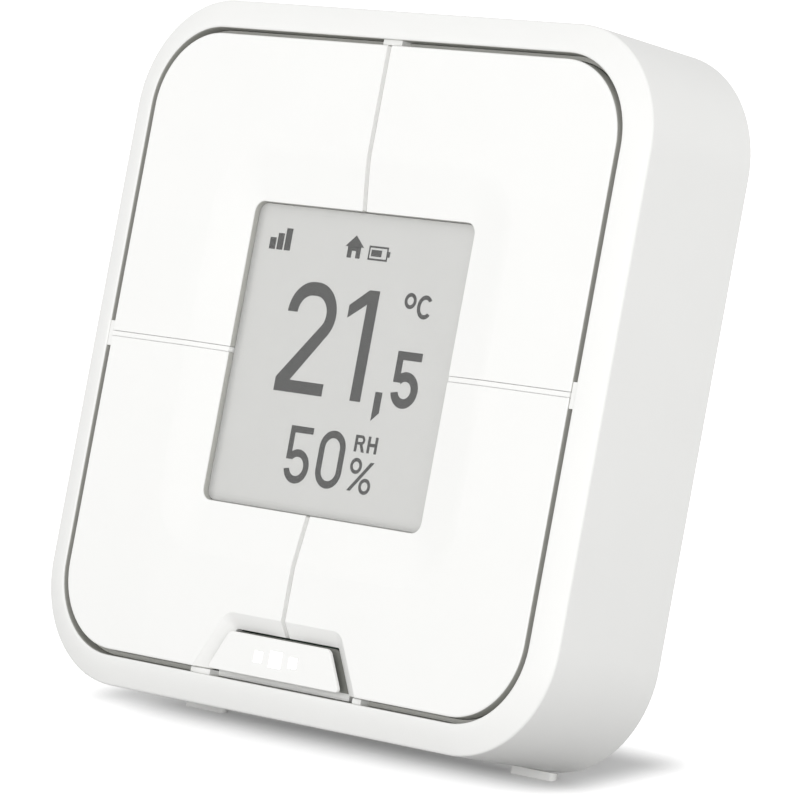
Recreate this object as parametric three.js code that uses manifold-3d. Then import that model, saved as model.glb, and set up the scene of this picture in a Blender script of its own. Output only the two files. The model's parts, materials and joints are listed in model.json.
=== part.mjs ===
// Indoor climate display and key unit, standing on its fold-out leg.
//
// Everything is drawn in the panel frame: x to the right, y up along the face, z out of the face
// towards the user, millimetres.  "Depth" is the distance behind the face plane, so z = -depth.
// One group then leans the panel back and stands it on the floor (row frame, +Z up, face to -Y).

import * as THREE from 'three';
import { mergeVertices } from 'three/addons/utils/BufferGeometryUtils.js';
import Module from 'manifold-3d';

const wasm = await Module();
wasm.setup();

// ---------------------------------------------------------------- driving dimensions
const LEAN = THREE.MathUtils.degToRad(15);
const CORNER_STEPS = 9;
const MERGE_TOLERANCE = 1e-4;

const HOUSING = {
  half: 37, corner: 12.1, rimInner: 33.83, rimCorner: 8.95, rimSlope: 3.0, rimDrop: 1.07,
  rimLedge: 3.5, wall: 1.8, rear: 16.45,
  tabWidth: 2.7, tabDepth: 0.65, tabReach: 0.3, lugInner: 11.25, lugOuter: 12.47, lugDepth: 0.45,
};
const VENT = { count: 7, pitch: 3.6, width: 1.3, front: 7, rear: 12.5 };

const PADDLE = { half: 33.24, corner: 8.4, thickness: 1.6, seam: 0.6, edge: 0.25 };
const FUNNEL = { outer: 21.3, corner: 6.6, inner: 15.95, depth: 0.8 };
const POST = { place: 20, radius: 1.3, end: 2.6 };
const HOOK = { near: 18.1, nearFoot: 25.2, start: 0.5, width: 1.6, length: 1.4, depth: 2.9, slot: 0.4 };

const RECESS = {
  top: -27.03, halfTop: 8.35, legAngle: THREE.MathUtils.degToRad(30), foot: -38, corner: 1.8,
  slope: 1.57, depth: 1.15, floor: 1.95, margin: 1.4,
};
const MENU = {
  front: -0.1, capThickness: 0.45, inset: 1.95, foot: -33.1, corner: 0.9,
  bodyInset: 3.3, flangeFront: 2.4, flangeBack: 2.9, flangeHalf: 10.2, flangeTop: -29.6, flangeFoot: -33.6,
};
const LIGHTS = {
  y: -31.03, pitch: 2.53, sideSize: 1.3, middleSize: 1.75, gap: 0.06, barFront: 2.95, barBack: 3.1,
  barHalf: 3.4, barHigh: 1.9,
};

const WINDOW = { half: 15.7, corner: 1.1, front: 1.45, back: 2.05, gasketBack: 2.3, gasketInner: 14 };
const PANEL = { halfWidth: 15.9, top: 15.9, bottom: -21.4, front: 2.35, back: 3.3 };
const TRAY = { halfWidth: 17.3, top: 17.3, bottom: -22.9, front: 2.0, floor: 3.35, back: 3.68, wall: 1.15 };
const CARRIER = {
  half: 33.3, corner: 8.4, front: 2.5, back: 3.5, ribFront: 2.0, ribWidth: 2.4,
  openHalf: 17.7, openTop: 17.7, openBottom: -24.6, notchHalf: 11, notchTop: -27.4, switchHole: 3.2,
};

const BOARD = { half: 34.6, corner: 9.7, front: 3.8, back: 4.7 };
const SWITCH = { half: 1.75, paddleFront: 3.0, menuFront: 3.3, back: 3.75, bore: 1.15, menuX: 6.2, menuY: -31.2 };
const PLUNGER = { radius: 0.85, paddleFront: 2.7, paddleBack: 3.3, menuFront: 3.0, menuBack: 3.4 };
const LED = { size: 1.2, front: 3.5, back: 3.75 };
const RIBBON = { half: 6, sheet: 0.16, front: 2.8, drop: -23.5, back: 5.3, end: -19.5 };

const CELL = { radius: 5.2, length: 43.7, nub: 0.8, nubRadius: 1.9, depth: 10.9, lowY: 10, highY: 21.2 };
const TRAY_BOX = { halfWidth: 25, bottom: 3.45, top: 27.75, front: 5, back: 16.2, wall: 0.8, floor: 0.5 };
const SPRING = { coilRadius: 2.5, tipRadius: 1.5, wire: 0.2, turns: 3, length: 1.5, wallGap: 0.35, sides: 6, stepsPerTurn: 12 };

const COVER = {
  half: 34.85, corner: 9.95, front: 14.9, flangeBack: 16.25,
  plateauHalf: 31.5, plateauCorner: 5, back: 18.4, pocketHalf: 27.3, pocketLow: 1.9, pocketHigh: 29.3,
  pocketBack: 16.3,
};
const DOOR = { halfWidth: 26, bottom: 3.2, top: 28.3, corner: 1.5, front: 16.6, gap: 0.3, grooves: 4 };
const SCREW = {
  place: 28, headRadius: 1.9, headFront: 16.45, headBack: 17.75, shaft: 1.0, tip: 7,
  bossRadius: 2.6, bossFront: 5, bossBack: 14.7, pilot: 1.3, counterbore: 2.25, seat: 16.4,
};
const LEG = {
  halfWidth: 18.2, length: 34.6, thickness: 1.5, hingeY: -1, hingeDepth: 17.2, barrel: 1.45, bore: 1.0,
  pocketHalf: 18.6, pocketTop: 0.9, pocketFloor: 16.4, clearance: 1.85, padDrop: 1.0, padHalf: 15,
  rim: 3.2,
};
const PIN = { radius: 0.7, half: 21, socket: 21.3 };
const FOOT = { x: 24, half: 4, front: 14.0, back: 15.8, thin: 0.6, gap: 0.05 };

const FINISHES = {
  whiteShell: { color: 0xf3f3f0, roughness: 0.42, metalness: 0 },
  whiteKey: { color: 0xf7f7f4, roughness: 0.36, metalness: 0 },
  whiteInner: { color: 0xe4e4df, roughness: 0.55, metalness: 0 },
  darkInner: { color: 0x7a7b74, roughness: 0.6, metalness: 0 },
  lightGuide: { color: 0xffffff, roughness: 0.2, metalness: 0 },
  glass: { color: 0xdfe3e2, roughness: 0.05, metalness: 0 },
  paper: { color: 0xcfcfcc, roughness: 0.5, metalness: 0 },
  gasket: { color: 0xb9bab6, roughness: 0.7, metalness: 0 },
  board: { color: 0x1f5a3a, roughness: 0.45, metalness: 0 },
  metal: { color: 0xc4c6c8, roughness: 0.3, metalness: 1 },
  black: { color: 0x2d2d2c, roughness: 0.5, metalness: 0 },
  amber: { color: 0xc98a3c, roughness: 0.4, metalness: 0 },
  cellWrap: { color: 0x5f7f8c, roughness: 0.35, metalness: 0.2 },
  rubber: { color: 0xd2d3cf, roughness: 0.85, metalness: 0 },
};

// ---------------------------------------------------------------- outlines
function roundedRectangle(halfWidth, halfHeight, corner, steps = CORNER_STEPS) {
  const points = [];
  const signs = [[1, 1], [-1, 1], [-1, -1], [1, -1]];
  signs.forEach(([signX, signY], quarter) => {
    for (let step = 0; step <= steps; step += 1) {
      const angle = (quarter + step / steps) * Math.PI / 2;
      points.push(new THREE.Vector2(
        signX * (halfWidth - corner) + corner * Math.cos(angle),
        signY * (halfHeight - corner) + corner * Math.sin(angle),
      ));
    }
  });
  return points;
}

function rectangle(left, right, bottom, top) {
  return [
    new THREE.Vector2(left, bottom), new THREE.Vector2(right, bottom),
    new THREE.Vector2(right, top), new THREE.Vector2(left, top),
  ];
}

function shifted(points, x, y) {
  return points.map((point) => new THREE.Vector2(point.x + x, point.y + y));
}

// The menu key's outline: a trapezoid, wider at its foot, with both upper corners rounded.
// `inset` moves the top and both legs inwards; the foot stays where it is given.
function menuOutline(inset, foot, corner) {
  const tangent = Math.tan(RECESS.legAngle);
  const top = RECESS.top - inset;
  const halfTop = RECESS.halfTop - inset * (1 / Math.cos(RECESS.legAngle) - tangent);
  const halfFoot = halfTop + (top - foot) * tangent;
  const centreY = top - corner;
  const centreX = halfTop - corner * Math.tan(Math.PI / 4 - RECESS.legAngle / 2);
  const points = [new THREE.Vector2(halfFoot, foot)];
  const sweep = Math.PI / 2 - RECESS.legAngle;
  for (let step = 0; step <= CORNER_STEPS; step += 1) {
    const angle = RECESS.legAngle + sweep * step / CORNER_STEPS;
    points.push(new THREE.Vector2(centreX + corner * Math.cos(angle), centreY + corner * Math.sin(angle)));
  }
  for (let step = CORNER_STEPS; step >= 0; step -= 1) {
    const angle = RECESS.legAngle + sweep * step / CORNER_STEPS;
    points.push(new THREE.Vector2(-centreX - corner * Math.cos(angle), centreY + corner * Math.sin(angle)));
  }
  points.push(new THREE.Vector2(-halfFoot, foot));
  return points;
}

// ---------------------------------------------------------------- solids
function solidOf(geometry) {
  const plain = geometry.clone();
  plain.deleteAttribute('normal');
  plain.deleteAttribute('uv');
  const merged = mergeVertices(plain, MERGE_TOLERANCE);
  return new wasm.Manifold(new wasm.Mesh({
    numProp: 3,
    vertProperties: new Float32Array(merged.attributes.position.array),
    triVerts: new Uint32Array(merged.index.array),
  }));
}

function geometryOf(solid) {
  const mesh = solid.getMesh();
  const geometry = new THREE.BufferGeometry();
  geometry.setAttribute('position', new THREE.BufferAttribute(new Float32Array(mesh.vertProperties), 3));
  geometry.setIndex(new THREE.BufferAttribute(new Uint32Array(mesh.triVerts), 1));
  geometry.computeVertexNormals();
  return geometry;
}

// A flat-faced prism of an outline between two depths.
function prism(points, front, back) {
  const geometry = new THREE.ExtrudeGeometry(new THREE.Shape(points), {
    depth: back - front, bevelEnabled: false, curveSegments: 1,
  });
  return solidOf(geometry.translate(0, 0, -back));
}

// A prism whose front edge rolls back: `inward` along the face over `drop` of depth.
function edgedPrism(points, front, back, inward, drop, segments = 1) {
  const geometry = new THREE.ExtrudeGeometry(new THREE.Shape(points), {
    depth: back - front, bevelThickness: drop, bevelSize: inward, bevelOffset: -inward,
    bevelSegments: segments, curveSegments: 1,
  });
  const reach = 2 * HOUSING.half;
  const keep = prism(rectangle(-reach, reach, -reach, reach), front - 1, back);
  return solidOf(geometry.translate(0, 0, -front - (back - front) - drop)).intersect(keep);
}

// A cutter that narrows with depth: its outline holds in front of `front` and then slopes
// inwards by `inward` down to `back`.
function taperedCutter(points, front, back, inward) {
  const ahead = 4;
  const drop = back - front;
  const geometry = new THREE.ExtrudeGeometry(new THREE.Shape(points), {
    depth: ahead, bevelThickness: drop, bevelSize: inward, bevelOffset: -inward,
    bevelSegments: 1, curveSegments: 1,
  });
  return solidOf(geometry.translate(0, 0, -front));
}

function box(left, right, bottom, top, front, back) {
  return prism(rectangle(left, right, bottom, top), front, back);
}

function disc(x, y, radius, front, back, sides = 20) {
  const geometry = new THREE.CylinderGeometry(radius, radius, back - front, sides);
  geometry.rotateX(Math.PI / 2);
  return solidOf(geometry.translate(x, y, -(front + back) / 2));
}

function rod(x0, x1, y, depth, radius, sides = 20) {
  const geometry = new THREE.CylinderGeometry(radius, radius, x1 - x0, sides);
  geometry.rotateZ(Math.PI / 2);
  return solidOf(geometry.translate((x0 + x1) / 2, y, -depth));
}

// A side-on outline, given as [y, depth] pairs, spread along x.
function sidePrism(pairs, left, right) {
  const points = pairs.map(([y, depth]) => new THREE.Vector2(y, -depth));
  if (THREE.ShapeUtils.area(points) < 0) {
    points.reverse();
  }
  const geometry = new THREE.ExtrudeGeometry(new THREE.Shape(points), {
    depth: right - left, bevelEnabled: false, curveSegments: 1,
  });
  const toSide = new THREE.Matrix4().makeBasis(
    new THREE.Vector3(0, 1, 0), new THREE.Vector3(0, 0, 1), new THREE.Vector3(1, 0, 0),
  );
  return solidOf(geometry.applyMatrix4(toSide).translate(left, 0, 0));
}

function union(solids) {
  return solids.reduce((whole, solid) => whole.add(solid));
}

function cut(solid, cutters) {
  return cutters.reduce((rest, cutter) => rest.subtract(cutter), solid);
}

// ---------------------------------------------------------------- scene
const panel = new THREE.Group();
panel.rotation.x = Math.PI / 2 - LEAN;

function place(name, solid, finish) {
  const geometry = solid.isBufferGeometry ? solid : geometryOf(solid);
  const material = new THREE.MeshStandardMaterial(FINISHES[finish]);
  const mesh = new THREE.Mesh(geometry, material);
  mesh.name = name;
  panel.add(mesh);
  return mesh;
}

const QUADRANTS = [
  { name: 'upper_left', x: -1, y: 1 },
  { name: 'upper_right', x: 1, y: 1 },
  { name: 'lower_left', x: -1, y: -1 },
  { name: 'lower_right', x: 1, y: -1 },
];

// ---------------------------------------------------------------- housing shell
function housingShell() {
  const { half, corner, rimInner, rimCorner, rimLedge, wall, rear, tabWidth, tabDepth, tabReach } = HOUSING;
  const outside = edgedPrism(
    roundedRectangle(half, half, corner, 12), 0, rear, HOUSING.rimSlope, HOUSING.rimDrop, 5,
  );
  const opening = prism(roundedRectangle(rimInner, rimInner, rimCorner, 12), -1, rimLedge + 1);
  const inside = prism(roundedRectangle(half - wall, half - wall, corner - wall, 12), rimLedge, rear + 1);
  let shell = cut(outside, [opening, inside]);

  const edge = rimInner - tabReach;
  const root = rimInner + 1;
  const tabs = [
    box(-tabWidth / 2, tabWidth / 2, edge, root, tabDepth, rimLedge),
    box(edge, root, -tabWidth / 2, tabWidth / 2, tabDepth, rimLedge),
    box(-root, -edge, -tabWidth / 2, tabWidth / 2, tabDepth, rimLedge),
    box(HOUSING.lugInner, HOUSING.lugOuter, -root, -edge, HOUSING.lugDepth, rimLedge),
    box(-HOUSING.lugOuter, -HOUSING.lugInner, -root, -edge, HOUSING.lugDepth, rimLedge),
  ];
  const bosses = QUADRANTS.map(({ x, y }) => {
    const web = new THREE.BoxGeometry(7, 2, SCREW.bossBack - SCREW.bossFront - 1);
    web.translate(3.5, 0, 0).rotateZ(Math.atan2(y, x));
    web.translate(x * SCREW.place, y * SCREW.place, -(SCREW.bossFront + SCREW.bossBack) / 2 - 0.5);
    const post = disc(x * SCREW.place, y * SCREW.place, SCREW.bossRadius, SCREW.bossFront, SCREW.bossBack);
    return post.add(solidOf(web));
  });
  shell = union([shell, ...tabs, ...bosses]);

  const pilots = QUADRANTS.map(({ x, y }) => (
    disc(x * SCREW.place, y * SCREW.place, SCREW.pilot, SCREW.bossFront + 1, SCREW.bossBack + 1, 16)
  ));
  const vents = Array.from({ length: VENT.count }, (_, index) => {
    const x = (index - (VENT.count - 1) / 2) * VENT.pitch;
    return box(x - VENT.width / 2, x + VENT.width / 2, -half - 1, -half + wall + 1, VENT.front, VENT.rear);
  });
  return cut(shell, [...pilots, ...vents]);
}
place('housing_shell', housingShell(), 'whiteShell');

// ---------------------------------------------------------------- four paddles
// Each paddle tips about two hooks near the inner ends of its arms.  The carrier has a slot,
// larger by `grow`, for each hook: [left, right, bottom, top] of the two.
function hookSides(x, y, grow) {
  const ordered = (first, second) => [Math.min(first, second), Math.max(first, second)];
  const across = (sign) => ordered(
    sign * (HOOK.start - grow), sign * (HOOK.start + HOOK.width + grow),
  );
  const along = (sign, near) => ordered(sign * (near - grow), sign * (near + HOOK.length + grow));
  return [
    [...across(x), ...along(y, y < 0 ? HOOK.nearFoot : HOOK.near)],
    [...along(x, HOOK.near), ...across(y)],
  ];
}

function paddle({ x, y }) {
  const { half, corner, thickness, seam, edge } = PADDLE;
  const reach = half + 1;
  const side = (sign) => (sign > 0 ? [seam / 2, reach] : [-reach, -seam / 2]);
  const quadrant = box(...side(x), ...side(y), -1, RECESS.floor + 1);
  let body = edgedPrism(roundedRectangle(half, half, corner), 0, thickness, edge, edge, 2);
  if (y < 0) {
    const pad = menuOutline(-RECESS.margin, -half + 0.5, RECESS.corner + RECESS.margin);
    body = body.add(prism(pad, thickness - 0.4, RECESS.floor));
  }
  body = body.intersect(quadrant);
  body = body.add(disc(x * POST.place, y * POST.place, POST.radius, thickness - 0.4, POST.end, 14));

  body = union([body, ...hookSides(x, y, 0).map((sides) => box(...sides, thickness - 0.4, HOOK.depth))]);

  const cutters = [
    taperedCutter(roundedRectangle(FUNNEL.outer, FUNNEL.outer, FUNNEL.corner), 0, FUNNEL.depth,
      FUNNEL.outer - FUNNEL.inner),
    prism(roundedRectangle(FUNNEL.inner, FUNNEL.inner, WINDOW.corner), FUNNEL.depth - 0.3, thickness + 1),
  ];
  if (y < 0) {
    cutters.push(taperedCutter(menuOutline(0, RECESS.foot, RECESS.corner), 0, RECESS.depth, RECESS.slope));
    cutters.push(prism(menuOutline(RECESS.slope, RECESS.foot, RECESS.corner / 2), 1, RECESS.floor + 1));
  }
  return cut(body, cutters);
}
QUADRANTS.forEach((quadrant) => place(`paddle_${quadrant.name}`, paddle(quadrant), 'whiteKey'));

// ---------------------------------------------------------------- menu key and its light guide
function lightMarks(grow, front, back) {
  const sizes = [LIGHTS.sideSize, LIGHTS.middleSize, LIGHTS.sideSize];
  return sizes.map((size, index) => {
    const x = (index - 1) * LIGHTS.pitch;
    const half = size / 2 + grow;
    return box(x - half, x + half, LIGHTS.y - half, LIGHTS.y + half, front, back);
  });
}

function menuKey() {
  const capBack = MENU.front + MENU.capThickness;
  const cap = edgedPrism(menuOutline(MENU.inset, MENU.foot, MENU.corner), MENU.front, capBack, 0.15, 0.15, 2);
  const body = prism(menuOutline(MENU.bodyInset, MENU.foot + 0.6, MENU.corner), capBack - 0.1, MENU.flangeFront + 0.1);
  const flange = box(
    -MENU.flangeHalf, MENU.flangeHalf, MENU.flangeFoot, MENU.flangeTop, MENU.flangeFront, MENU.flangeBack,
  );
  return cut(union([cap, body, flange]), lightMarks(LIGHTS.gap, MENU.front - 1, MENU.flangeBack + 1));
}
place('menu_key', menuKey(), 'whiteKey');

const guideBar = box(
  -LIGHTS.barHalf, LIGHTS.barHalf, LIGHTS.y - LIGHTS.barHigh / 2, LIGHTS.y + LIGHTS.barHigh / 2,
  LIGHTS.barFront, LIGHTS.barBack,
);
place('light_guide', union([guideBar, ...lightMarks(0, MENU.front, LIGHTS.barFront + 0.05)]), 'lightGuide');

// ---------------------------------------------------------------- display stack
const windowOutline = roundedRectangle(WINDOW.half, WINDOW.half, WINDOW.corner, 5);
place('display_window', prism(windowOutline, WINDOW.front, WINDOW.back), 'glass');

const gasketHole = box(
  -WINDOW.gasketInner, WINDOW.gasketInner, -WINDOW.gasketInner, WINDOW.gasketInner, 1, 3,
);
place('window_gasket', cut(prism(windowOutline, WINDOW.back + 0.05, WINDOW.gasketBack), [gasketHole]), 'gasket');
place('paper_display', box(
  -PANEL.halfWidth, PANEL.halfWidth, PANEL.bottom, PANEL.top, PANEL.front, PANEL.back,
), 'paper');

function displayTray() {
  const { halfWidth, top, bottom, front, floor, back, wall } = TRAY;
  const inner = halfWidth - wall;
  const hollow = box(-inner, inner, bottom + wall, top - wall, front - 1, floor);
  const ribbonGap = box(-RIBBON.half - 0.6, RIBBON.half + 0.6, bottom - 1, bottom + wall + 0.5, front - 1, back + 1);
  return cut(box(-halfWidth, halfWidth, bottom, top, front, back), [hollow, ribbonGap]);
}
place('display_tray', displayTray(), 'whiteInner');

// ---------------------------------------------------------------- key carrier
function keyCarrier() {
  const { half, corner, front, back, ribFront, ribWidth, openHalf, openTop, openBottom } = CARRIER;
  const rib = ribWidth / 2;
  const reach = half - 0.6;
  const solids = [
    prism(roundedRectangle(half, half, corner), front, back),
    box(-reach, reach, -rib, rib, ribFront, front + 0.2),
    box(-rib, rib, openTop, reach, ribFront, front + 0.2),
  ];
  const cutters = [
    box(-openHalf, openHalf, openBottom, openTop, ribFront - 1, back + 1),
    box(-CARRIER.notchHalf, CARRIER.notchHalf, -half - 1, CARRIER.notchTop, ribFront - 1, back + 1),
  ];
  QUADRANTS.forEach(({ x, y }) => {
    const hole = CARRIER.switchHole;
    cutters.push(box(
      x * POST.place - hole, x * POST.place + hole, y * POST.place - hole, y * POST.place + hole, 1, back + 1,
    ));
    hookSides(x, y, HOOK.slot).forEach((sides) => cutters.push(box(...sides, 1, HOOK.depth + HOOK.slot)));
  });
  return cut(union(solids), cutters);
}
place('key_carrier', keyCarrier(), 'darkInner');

// ---------------------------------------------------------------- main board and what it carries
function mainBoard() {
  const slot = box(-RIBBON.half - 0.8, RIBBON.half + 0.8, RIBBON.drop - 0.9, RIBBON.drop + 0.9, 3, 6);
  return cut(prism(roundedRectangle(BOARD.half, BOARD.half, BOARD.corner), BOARD.front, BOARD.back), [slot]);
}
place('main_board', mainBoard(), 'board');

function tactSwitch(x, y, front) {
  const body = box(x - SWITCH.half, x + SWITCH.half, y - SWITCH.half, y + SWITCH.half, front, SWITCH.back);
  return cut(body, [disc(x, y, SWITCH.bore, front - 1, SWITCH.back + 1, 14)]);
}
QUADRANTS.forEach(({ name, x, y }) => {
  const centre = [x * POST.place, y * POST.place];
  place(`switch_${name}`, tactSwitch(...centre, SWITCH.paddleFront), 'metal');
  place(`plunger_${name}`, disc(...centre, PLUNGER.radius, PLUNGER.paddleFront, PLUNGER.paddleBack, 14), 'black');
});
place('switch_menu', tactSwitch(SWITCH.menuX, SWITCH.menuY, SWITCH.menuFront), 'metal');
place('plunger_menu', disc(
  SWITCH.menuX, SWITCH.menuY, PLUNGER.radius, PLUNGER.menuFront, PLUNGER.menuBack, 14,
), 'black');

['left', 'middle', 'right'].forEach((name, index) => {
  const x = (index - 1) * LIGHTS.pitch;
  const half = LED.size / 2;
  place(`led_${name}`, box(x - half, x + half, LIGHTS.y - half, LIGHTS.y + half, LED.front, LED.back), 'amber');
});

const MODULE = { left: -22, right: -8, bottom: -16, top: -4, back: 6.6 };
place('radio_module', box(
  MODULE.left, MODULE.right, MODULE.bottom, MODULE.top, BOARD.back + 0.05, MODULE.back,
), 'metal');
const PROCESSOR = { left: 6, right: 14, bottom: -16, top: -8, back: 5.7 };
place('processor_chip', box(
  PROCESSOR.left, PROCESSOR.right, PROCESSOR.bottom, PROCESSOR.top, BOARD.back + 0.05, PROCESSOR.back,
), 'black');
const SENSOR = { x: 0, y: -32.2, half: 1.25, back: 5.6 };
place('climate_sensor', cut(
  box(-SENSOR.half, SENSOR.half, SENSOR.y - SENSOR.half, SENSOR.y + SENSOR.half, BOARD.back + 0.05, SENSOR.back),
  [disc(SENSOR.x, SENSOR.y, 0.5, SENSOR.back - 0.4, SENSOR.back + 1, 12)],
), 'black');
place('ribbon_connector', cut(
  box(-RIBBON.half - 1, RIBBON.half + 1, -22, -17.5, BOARD.back + 0.05, RIBBON.back + 0.55),
  [box(-RIBBON.half - 0.2, RIBBON.half + 0.2, -23, RIBBON.end + 0.4, RIBBON.back - 0.3, RIBBON.back + 0.3)],
), 'whiteInner');

// The display's ribbon leaves the panel's lower edge, drops through the board's slot and turns
// up into its connector.
function ribbonPath(offset) {
  const bend = 0.5;
  const outer = bend + offset;
  const turn = (y, depth, from, to) => Array.from({ length: 5 }, (_, step) => {
    const angle = from + (to - from) * step / 4;
    return [y + outer * Math.cos(angle), depth + outer * Math.sin(angle)];
  });
  return [
    [PANEL.bottom - 0.05, RIBBON.front - offset],
    ...turn(RIBBON.drop + bend, RIBBON.front + bend, -Math.PI / 2, -Math.PI),
    ...turn(RIBBON.drop + bend, RIBBON.back - bend, Math.PI, Math.PI / 2),
    [RIBBON.end, RIBBON.back + offset],
  ];
}
place('display_ribbon', sidePrism(
  [...ribbonPath(RIBBON.sheet / 2), ...ribbonPath(-RIBBON.sheet / 2).reverse()], -RIBBON.half, RIBBON.half,
), 'amber');

// ---------------------------------------------------------------- battery compartment
function batteryTray() {
  const { halfWidth, bottom, top, front, back, wall, floor } = TRAY_BOX;
  const middle = (bottom + top) / 2;
  const hollows = [[bottom + wall, middle - wall / 2], [middle + wall / 2, top - wall]].map(([low, high]) => (
    box(-halfWidth + wall, halfWidth - wall, low, high, front + floor, back + 1)
  ));
  return cut(box(-halfWidth, halfWidth, bottom, top, front, back), hollows);
}
place('battery_tray', batteryTray(), 'darkInner');

// A dry cell lies along x; its nub points towards `sign`.
function dryCell(y, sign) {
  const half = CELL.length / 2;
  const can = rod(-half, half, y, CELL.depth, CELL.radius, 28);
  const nubEnds = sign > 0 ? [half - 0.1, half + CELL.nub] : [-half - CELL.nub, -half + 0.1];
  return can.add(rod(...nubEnds, y, CELL.depth, CELL.nubRadius, 16));
}
place('cell_upper', dryCell(CELL.highY, 1), 'cellWrap');
place('cell_lower', dryCell(CELL.lowY, -1), 'cellWrap');

// Negative contact: a conical wire spring that pushes the cell towards its nub.
class ConeSpring extends THREE.Curve {
  getPoint(t, target = new THREE.Vector3()) {
    const angle = t * SPRING.turns * Math.PI * 2;
    const radius = THREE.MathUtils.lerp(SPRING.coilRadius, SPRING.tipRadius, t);
    return target.set(SPRING.length * t, radius * Math.cos(angle), radius * Math.sin(angle));
  }
}

function contactSpring(y, sign) {
  const ring = Array.from({ length: SPRING.sides }, (_, side) => {
    const angle = side / SPRING.sides * Math.PI * 2;
    return new THREE.Vector2(SPRING.wire * Math.cos(angle), SPRING.wire * Math.sin(angle));
  });
  const geometry = new THREE.ExtrudeGeometry(new THREE.Shape(ring), {
    steps: SPRING.turns * SPRING.stepsPerTurn, extrudePath: new ConeSpring(),
  });
  if (sign > 0) {
    geometry.rotateY(Math.PI);
  }
  const wallX = TRAY_BOX.halfWidth - TRAY_BOX.wall - SPRING.wallGap;
  return geometry.translate(sign * wallX, y, -CELL.depth);
}

function contactPlate(y, sign) {
  const outer = TRAY_BOX.halfWidth - TRAY_BOX.wall - 0.05;
  const inner = outer - 0.4;
  const ends = [Math.min(sign * inner, sign * outer), Math.max(sign * inner, sign * outer)];
  return box(...ends, y - 3.4, y + 3.4, CELL.depth - 3.6, CELL.depth + 3.6);
}
[['upper', CELL.highY, 1], ['lower', CELL.lowY, -1]].forEach(([name, y, nub]) => {
  place(`contact_plate_${name}`, contactPlate(y, nub), 'metal');
  place(`contact_spring_${name}`, solidOf(contactSpring(y, -nub)), 'metal');
});

// ---------------------------------------------------------------- back cover, door and screws
function backCover() {
  const { half, corner, front, flangeBack, plateauHalf, plateauCorner, back } = COVER;
  const flange = prism(roundedRectangle(half, half, corner), front, flangeBack);
  const plateau = edgedPrism(
    roundedRectangle(plateauHalf, plateauHalf, plateauCorner, 5), -back, -front - 0.2, 0.5, 0.5,
  );
  const turned = plateau.mirror([0, 0, 1]);
  const hinge = [LEG.hingeY, LEG.hingeDepth];
  const cutters = [
    box(-COVER.pocketHalf, COVER.pocketHalf, COVER.pocketLow, COVER.pocketHigh, front - 1, COVER.pocketBack),
    prism(doorOutline(DOOR.gap), front, back + 1),
    box(-LEG.pocketHalf, LEG.pocketHalf, -half - 1, LEG.pocketTop, LEG.pocketFloor, back + 1),
    rod(-LEG.pocketHalf, LEG.pocketHalf, ...hinge, LEG.clearance, 24),
    rod(-PIN.socket, PIN.socket, ...hinge, LEG.bore),
  ];
  QUADRANTS.forEach(({ x, y }) => {
    cutters.push(disc(x * SCREW.place, y * SCREW.place, SCREW.shaft + 0.35, front - 1, back, 16));
    cutters.push(disc(x * SCREW.place, y * SCREW.place, SCREW.counterbore, SCREW.seat, back + 1));
  });
  return cut(flange.add(turned), cutters);
}

function doorOutline(grow) {
  const halfHeight = (DOOR.top - DOOR.bottom) / 2;
  const outline = roundedRectangle(DOOR.halfWidth + grow, halfHeight + grow, DOOR.corner + grow, 4);
  return shifted(outline, 0, (DOOR.top + DOOR.bottom) / 2);
}
place('back_cover', backCover(), 'whiteShell');

const gripGrooves = Array.from({ length: DOOR.grooves }, (_, index) => {
  const y = DOOR.top - 2.5 - index * 1.6;
  return box(-7, 7, y - 0.35, y + 0.35, COVER.back - 0.4, COVER.back + 1);
});
place('battery_door', cut(prism(doorOutline(0), DOOR.front, COVER.back), gripGrooves), 'whiteShell');

function coverScrew({ x, y }) {
  const centre = [x * SCREW.place, y * SCREW.place];
  const head = disc(...centre, SCREW.headRadius, SCREW.headFront, SCREW.headBack);
  const shaft = disc(...centre, SCREW.shaft, SCREW.tip, SCREW.headFront + 0.1, 14);
  const [cx, cy] = centre;
  const cross = [
    box(cx - 1.1, cx + 1.1, cy - 0.25, cy + 0.25, SCREW.headBack - 0.6, SCREW.headBack + 1),
    box(cx - 0.25, cx + 0.25, cy - 1.1, cy + 1.1, SCREW.headBack - 0.6, SCREW.headBack + 1),
  ];
  return cut(head.add(shaft), cross);
}
QUADRANTS.forEach((quadrant) => place(`cover_screw_${quadrant.name}`, coverScrew(quadrant), 'metal'));

// ---------------------------------------------------------------- rubber feet and fold-out leg
// The floor runs through the feet's rear lower edge, parallel to the leaned panel's floor line.
const floorPoint = { y: -HOUSING.half - FOOT.gap - FOOT.thin, depth: FOOT.back };
const footTop = -HOUSING.half - FOOT.gap;
const footFrontBottom = floorPoint.y - (FOOT.back - FOOT.front) * Math.tan(LEAN);
[['left', -FOOT.x], ['right', FOOT.x]].forEach(([name, x]) => {
  place(`rubber_foot_${name}`, sidePrism([
    [footTop, FOOT.front], [footTop, FOOT.back], [floorPoint.y, floorPoint.depth], [footFrontBottom, FOOT.front],
  ], x - FOOT.half, x + FOOT.half), 'rubber');
});

// How far the hinge stands above the floor, and so how far the leg must open to reach it.
const hingeHeight = (LEG.hingeY - floorPoint.y) * Math.cos(LEAN)
  - (LEG.hingeDepth - floorPoint.depth) * Math.sin(LEAN);
const legReach = LEG.length + LEG.padDrop;
const legFromVertical = Math.acos(hingeHeight / legReach);
const legAngle = LEAN + legFromVertical;

// The leg is drawn folded, hanging along -y from its hinge, then opened about the hinge pin.
const legGroup = new THREE.Group();
legGroup.position.set(0, LEG.hingeY, -LEG.hingeDepth);
legGroup.rotation.x = legAngle;
panel.add(legGroup);

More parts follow.
